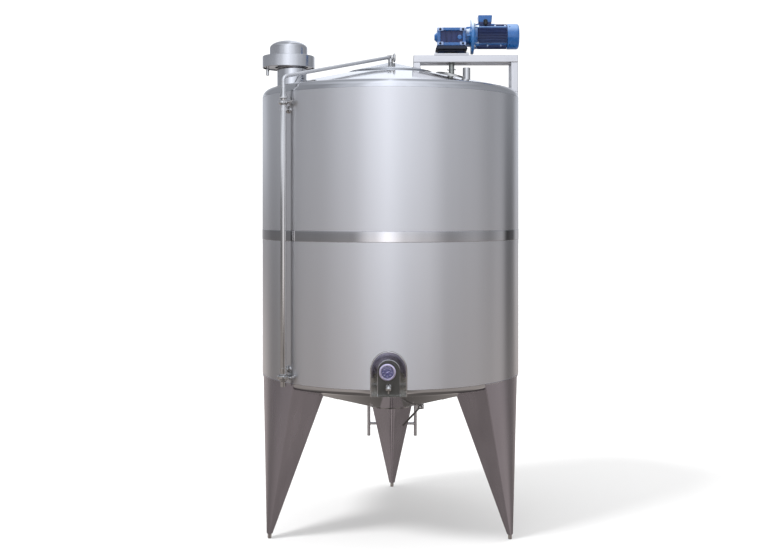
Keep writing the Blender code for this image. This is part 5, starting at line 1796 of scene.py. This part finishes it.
def dial_cover(place, deep, face):
    """Pointer of the dial and the glass over it."""
    bm = bmesh.new()
    swing = place @ Matrix.Translation((0, 0, deep - 0.0096)) @ Matrix.Rotation(math.radians(205.0), 4, "Z")
    outline = [(0.030, 0.0), (0.0, 0.0022), (-0.009, 0.0010), (-0.009, -0.0010), (0.0, -0.0022)]
    loft(bm, [[swing @ Vector((p[0], p[1], z)) for p in outline] for z in (0.0, 0.0005)])
    lathe(bm, [(0, 0.0016), (0.003, 0.0014), (0.0036, 0.0), (0, 0)], swing, 24)
    solid("dial_pointer", bm, white_print, "dial_face", crease=20.0)
    bm = bmesh.new()
    lathe(bm, [(0, 0.0026), (face * 0.6, 0.0021), (face - 0.0003, 0.001), (face - 0.0003, 0.0), (0, 0.0)],
          place @ Matrix.Translation((0, 0, deep - 0.0068)), 64)
    solid("dial_glass", bm, clear_glass, "dial_face")


def sample_cock():
    """Sample cock with its ribbed knob and its spout."""
    cock = middle("sample_cock")
    back = high("sample_cock").y
    tip = back - low("sample_cock").y
    z = high("sample_cock").z - 0.0175
    place = towards((cock.x, back, z), (0, -1, 0))
    bm = bmesh.new()
    lathe(bm, [(0, tip), (0.008, tip), (0.0105, tip - 0.0015), (0.0165, tip - 0.007),
               (0.0175, tip - 0.012), (0.0175, tip - 0.016), (0.0160, tip - 0.020), (0.010, tip - 0.024),
               (0.009, tip - 0.026), (0.009, 0.044), (0.013, 0.041), (0.014, 0.037), (0.014, 0.008),
               (0.017, 0.006), (0.017, 0.0), (0, 0.0)], place, 48)
    spout = back - 0.052
    bar(bm, (cock.x, spout, z), (cock.x, spout, low("sample_cock").z), 0.005, 24, 0.0008)
    bar(bm, (cock.x, spout, z - 0.012), (cock.x, spout, z - 0.020), 0.0066, 24, 0.0008)
    solid("sample_valve", bm, bright_tube, "pipe_steel", "sample_cock")
    rib = bmesh.new()
    block(rib, (-0.0012, -0.0009, -0.0045), (0.0004, 0.0009, 0.0045), 0.0004, segments=1)
    grips = on_ring("knob_grips", place @ Matrix.Translation((0, 0, tip - 0.014)), plain_object("rib", rib),
                    24, 0.0173)
    dress(grips, bright_tube, "pipe_steel")


# Studio; cloth panels of the light tent, round the tank from behind over the left and the front:
# direction in degrees, then the level below eye height, at it, just above it, further up
# and overhead
TENT_PANELS = (
    ("backdrop", -180, 0.09, 0.50, 0.80, 1.38, 1.40),
    ("left rim light", -160, 0.75, 0.42, 0.80, 0.60, 0.70),
    ("left rear curtain", -142, 0.52, 0.28, 0.80, 0.42, 0.55),
    ("left rear gap", -125, 0.22, 0.20, 0.62, 0.45, 0.60),
    ("left wall", -97, 0.36, 0.22, 0.92, 0.44, 0.65),
    ("left front curtain", -66, 0.42, 0.27, 1.36, 0.44, 0.90),
    ("left fill", -32, 0.48, 0.38, 1.70, 0.88, 1.20),
    ("window left edge", -14, 0.30, 1.15, 1.24, 1.50, 1.75),
    ("front window", -2, 0.08, 1.90, 1.02, 1.75, 1.80),
    ("window right edge", 14, 0.24, 1.00, 1.36, 1.45, 1.60),
    ("right fill", 30, 0.38, 0.78, 1.47, 1.15, 1.35),
    ("right front gap", 52, 0.38, 0.38, 1.12, 0.75, 1.10),
    ("right wall", 76, 0.42, 0.50, 0.94, 0.56, 0.90),
    ("right wall seam", 94, 0.42, 0.34, 0.58, 0.46, 0.75),
    ("right rear curtain", 112, 0.50, 0.52, 0.62, 0.45, 0.65),
    ("black flag", 123, 0.20, 0.07, 0.18, 0.42, 0.60),
    ("black flag end", 135, 0.22, 0.12, 0.24, 0.40, 0.60),
    ("right rim light", 148, 0.50, 0.60, 0.66, 0.45, 0.60),
    ("right rim edge", 163, 0.56, 0.56, 0.85, 0.80, 0.80),
    ("backdrop", 180, 0.09, 0.50, 0.80, 1.38, 1.40),
)
TENT_FLOOR = 0.14
TENT_FRONT_FLOOR = 0.50
TENT_RADIUS = 14.0
TENT_CENTRE = Vector((0, 0, 1.6))
SKY_TINT = linear("#EBF0FA")
GROUND_TINT = linear("#FFF4EE")
FLOOR_SIZE = 60.0
FLOOR_GLOW = 0.03
SKY_LEVEL = 1.2
SUN_FROM = (-0.75, -0.50, 1.10)
SUN_SPREAD = 14.0
LENS_SHIFT = -0.0903
# Degrees up, down or round between which one level of the tent passes into the next
EYE_TO_BELOW = (2.0, 8.0)
EYE_TO_ABOVE = (2.0, 7.0)
FRONT_EDGE = (7.5, 11.0)
BACK_EDGE = (13.0, 19.0)
TO_OVERHEAD = (44.0, 58.0)
TO_FLOOR = (42.0, 56.0)
FRONT_TO_SIDE = (10.0, 42.0)
SIDE_TO_BACK = (125.0, 160.0)
GROUND_TO_SKY = (-14.0, 10.0)


def smooth(value, start, end):
    """Smooth step from 0 at start to 1 at end."""
    share = min(1.0, max(0.0, (value - start) / (end - start)))
    return share * share * (3 - 2 * share)


def tent_level(azimuth, elevation):
    """Brightness and tint of the light tent in one direction, in degrees."""
    for before, after in zip(TENT_PANELS, TENT_PANELS[1:]):
        if azimuth <= after[1]:
            break
    share = smooth(azimuth, before[1], after[1])
    below, eye, above, middle_sky, overhead = (a + (b - a) * share for a, b in zip(before[2:], after[2:]))
    level = eye + (below - eye) * smooth(-elevation, *EYE_TO_BELOW)
    level += (above - eye) * smooth(elevation, *EYE_TO_ABOVE)
    # The room's front half ends lower than its back, which the roof cone mirrors
    behind = smooth(abs(azimuth), *SIDE_TO_BACK)
    edge = [front + (back - front) * behind for front, back in zip(FRONT_EDGE, BACK_EDGE)]
    level += (middle_sky - above) * smooth(elevation, *edge)
    level += (overhead - middle_sky) * smooth(elevation, *TO_OVERHEAD)
    floor = TENT_FLOOR + TENT_FRONT_FLOOR * (1.0 - smooth(abs(azimuth), *FRONT_TO_SIDE))
    level += (floor - below) * smooth(-elevation, *TO_FLOOR)
    tint = Vector(GROUND_TINT).lerp(Vector(SKY_TINT), smooth(elevation, *GROUND_TO_SKY))
    return tint * max(0.02, level)


def build_tent():
    """A round light tent that only reflections see."""
    bm = bmesh.new()
    bmesh.ops.create_uvsphere(bm, u_segments=240, v_segments=120, radius=TENT_RADIUS)
    bmesh.ops.translate(bm, vec=TENT_CENTRE, verts=bm.verts)
    tent = plain_object("light_tent", bm)
    glow = tent.data.color_attributes.new("glow", "FLOAT_COLOR", "POINT")
    for vert, cell in zip(tent.data.vertices, glow.data):
        away = vert.co - TENT_CENTRE
        azimuth = math.degrees(math.atan2(away.x, -away.y))
        elevation = math.degrees(math.asin(away.z / away.length))
        cell.color = (*tent_level(azimuth, elevation), 1.0)
    made = bpy.data.materials.new("tent_fabric")
    made.use_nodes = True
    tree = made.node_tree
    tree.nodes.clear()
    colour = add(tree, "ShaderNodeAttribute", {"attribute_name": "glow"})
    lamp = add(tree, "ShaderNodeEmission", values={"Strength": bpy.context.scene.tank_studio.tent},
               links={"Color": colour.outputs["Color"]})
    add(tree, "ShaderNodeOutputMaterial", links={"Surface": lamp.outputs["Emission"]})
    tent.data.materials.append(made)
    tent.visible_camera = False
    tent.visible_diffuse = False
    tent.visible_shadow = False
    tent.visible_transmission = False
    return tent


def build_stage():
    """Floor, tent, lights, world and camera."""
    scene = bpy.context.scene
    studio = scene.tank_studio
    bm = bmesh.new()
    bmesh.ops.create_grid(bm, x_segments=1, y_segments=1, size=FLOOR_SIZE)
    floor = plain_object("floor", bm)
    made, _, shader = new_material("pale_floor")
    shader.inputs["Base Color"].default_value = (*linear("#E6E6E6"), 1.0)
    shader.inputs["Emission Color"].default_value = (1.0, 1.0, 1.0, 1.0)
    shader.inputs["Emission Strength"].default_value = FLOOR_GLOW
    shader.inputs["Roughness"].default_value = 0.9
    shader.inputs["Specular IOR Level"].default_value = 0.0
    floor.data.materials.append(made)
    floor.visible_glossy = False
    tent = build_tent()

    sun = bpy.data.lights.new("key_light", "SUN")
    sun.energy = studio.sun
    sun.angle = math.radians(SUN_SPREAD)
    lamp = bpy.data.objects.new("key_light", sun)
    lamp.matrix_world = towards((0, 0, 6), SUN_FROM)
    lamp.visible_glossy = False
    scene.collection.objects.link(lamp)

    world = bpy.data.worlds.new("studio")
    world.use_nodes = True
    sky = world.node_tree.nodes["Background"]
    sky.inputs["Color"].default_value = (1.0, 1.0, 1.0, 1.0)
    sky.inputs["Strength"].default_value = SKY_LEVEL
    scene.world = world
    scene.view_settings.view_transform = "Standard"

    lens = bpy.data.cameras.new("camera")
    lens.sensor_width = 36.0
    lens.lens = studio.lens
    lens.shift_y = LENS_SHIFT
    camera = bpy.data.objects.new("camera", lens)
    camera.location = (studio.side, -studio.distance, studio.height)
    yaw = math.atan2(studio.side, studio.distance)
    camera.rotation_euler = (math.radians(90.0), 0.0, yaw)
    scene.collection.objects.link(camera)
    scene.camera = camera


class TANK_OT_shell(bpy.types.Operator):
    """Build the satin cladding."""
    bl_idname = "tank.shell"
    bl_label = "Cladding"

    def execute(self, context):
        """Build it."""
        build_shell()
        return {"FINISHED"}


class TANK_OT_bands(bpy.types.Operator):
    """Build the polished band, roof and bottom."""
    bl_idname = "tank.bands"
    bl_label = "Band, roof and bottom"

    def execute(self, context):
        """Build them."""
        build_bands()
        return {"FINISHED"}


class TANK_OT_alcove(bpy.types.Operator):
    """Build the alcove's liner and rims."""
    bl_idname = "tank.alcove"
    bl_label = "Alcove"

    def execute(self, context):
        """Build it."""
        build_alcove()
        return {"FINISHED"}


class TANK_OT_legs(bpy.types.Operator):
    """Build the folded legs and their pins."""
    bl_idname = "tank.legs"
    bl_label = "Legs"

    def execute(self, context):
        """Build them."""
        build_legs()
        return {"FINISHED"}


class TANK_OT_breather(bpy.types.Operator):
    """Build the breather on the roof."""
    bl_idname = "tank.breather"
    bl_label = "Breather"

    def execute(self, context):
        """Build it."""
        build_breather()
        return {"FINISHED"}


class TANK_OT_riser(bpy.types.Operator):
    """Build the cleaning pipe and its fittings."""
    bl_idname = "tank.riser"
    bl_label = "Cleaning pipe"

    def execute(self, context):
        """Build it."""
        build_riser()
        return {"FINISHED"}


class TANK_OT_frame(bpy.types.Operator):
    """Build the frame that carries the drive."""
    bl_idname = "tank.frame"
    bl_label = "Agitator frame"

    def execute(self, context):
        """Build it."""
        build_frame()
        return {"FINISHED"}


class TANK_OT_agitator(bpy.types.Operator):
    """Build the seal, the shaft and the nozzle beside it."""
    bl_idname = "tank.agitator"
    bl_label = "Agitator"

    def execute(self, context):
        """Build it."""
        build_agitator()
        return {"FINISHED"}


class TANK_OT_gearbox(bpy.types.Operator):
    """Build the gearbox on its stand."""
    bl_idname = "tank.gearbox"
    bl_label = "Gearbox"

    def execute(self, context):
        """Build it."""
        build_gearbox()
        return {"FINISHED"}


class TANK_OT_motor(bpy.types.Operator):
    """Build the motor with its terminal box and hood."""
    bl_idname = "tank.motor"
    bl_label = "Motor"

    def execute(self, context):
        """Build it."""
        build_motor()
        return {"FINISHED"}


class TANK_OT_outlet(bpy.types.Operator):
    """Build the outlet valve and its lever."""
    bl_idname = "tank.outlet"
    bl_label = "Outlet valve"

    def execute(self, context):
        """Build it."""
        build_outlet()
        return {"FINISHED"}


class TANK_OT_ladder(bpy.types.Operator):
    """Build the ladder."""
    bl_idname = "tank.ladder"
    bl_label = "Ladder"

    def execute(self, context):
        """Build it."""
        build_ladder()
        return {"FINISHED"}


class TANK_OT_instruments(bpy.types.Operator):
    """Build the thermometer and the sample cock."""
    bl_idname = "tank.instruments"
    bl_label = "Instruments"

    def execute(self, context):
        """Build it."""
        build_instruments()
        return {"FINISHED"}


class TANK_OT_stage(bpy.types.Operator):
    """Build the floor, light and camera."""
    bl_idname = "tank.stage"
    bl_label = "Studio"

    def execute(self, context):
        """Build it."""
        build_stage()
        return {"FINISHED"}


OPERATORS = (
    TANK_OT_shell, TANK_OT_bands, TANK_OT_alcove, TANK_OT_legs, TANK_OT_breather, TANK_OT_riser,
    TANK_OT_frame, TANK_OT_agitator, TANK_OT_gearbox, TANK_OT_motor, TANK_OT_outlet, TANK_OT_ladder,
    TANK_OT_instruments, TANK_OT_stage)


class TANK_PT_panel(bpy.types.Panel):
    """Sidebar panel with the tank's pieces."""
    bl_label = "Storage tank"
    bl_idname = "TANK_PT_panel"
    bl_space_type = "VIEW_3D"
    bl_region_type = "UI"
    bl_category = "Tank"

    def draw(self, context):
        """List the operators and settings."""
        for operator in OPERATORS:
            self.layout.operator(operator.bl_idname)
        for group in (context.scene.tank_shape, context.scene.tank_finish, context.scene.tank_studio):
            for key in group.__annotations__:
                self.layout.prop(group, key)


SETTINGS = {"tank_shape": TankShapeSettings, "tank_finish": TankFinishSettings,
            "tank_studio": TankStudioSettings}


def register():
    """Register the settings, operators and panel."""
    for name, group in SETTINGS.items():
        bpy.utils.register_class(group)
        setattr(bpy.types.Scene, name, bpy.props.PointerProperty(type=group))
    for operator in OPERATORS:
        bpy.utils.register_class(operator)
    bpy.utils.register_class(TANK_PT_panel)


def unregister():
    """Remove them again."""
    bpy.utils.unregister_class(TANK_PT_panel)
    for operator in reversed(OPERATORS):
        bpy.utils.unregister_class(operator)
    for name, group in SETTINGS.items():
        delattr(bpy.types.Scene, name)
        bpy.utils.unregister_class(group)


def main():
    """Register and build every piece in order."""
    register()
    bpy.ops.tank.stage()
    bpy.ops.tank.shell()
    bpy.ops.tank.bands()
    bpy.ops.tank.alcove()
    bpy.ops.tank.legs()
    bpy.ops.tank.breather()
    bpy.ops.tank.riser()
    bpy.ops.tank.frame()
    bpy.ops.tank.agitator()
    bpy.ops.tank.gearbox()
    bpy.ops.tank.motor()
    bpy.ops.tank.outlet()
    bpy.ops.tank.ladder()
    bpy.ops.tank.instruments()


if __name__ == "__main__":
    main()
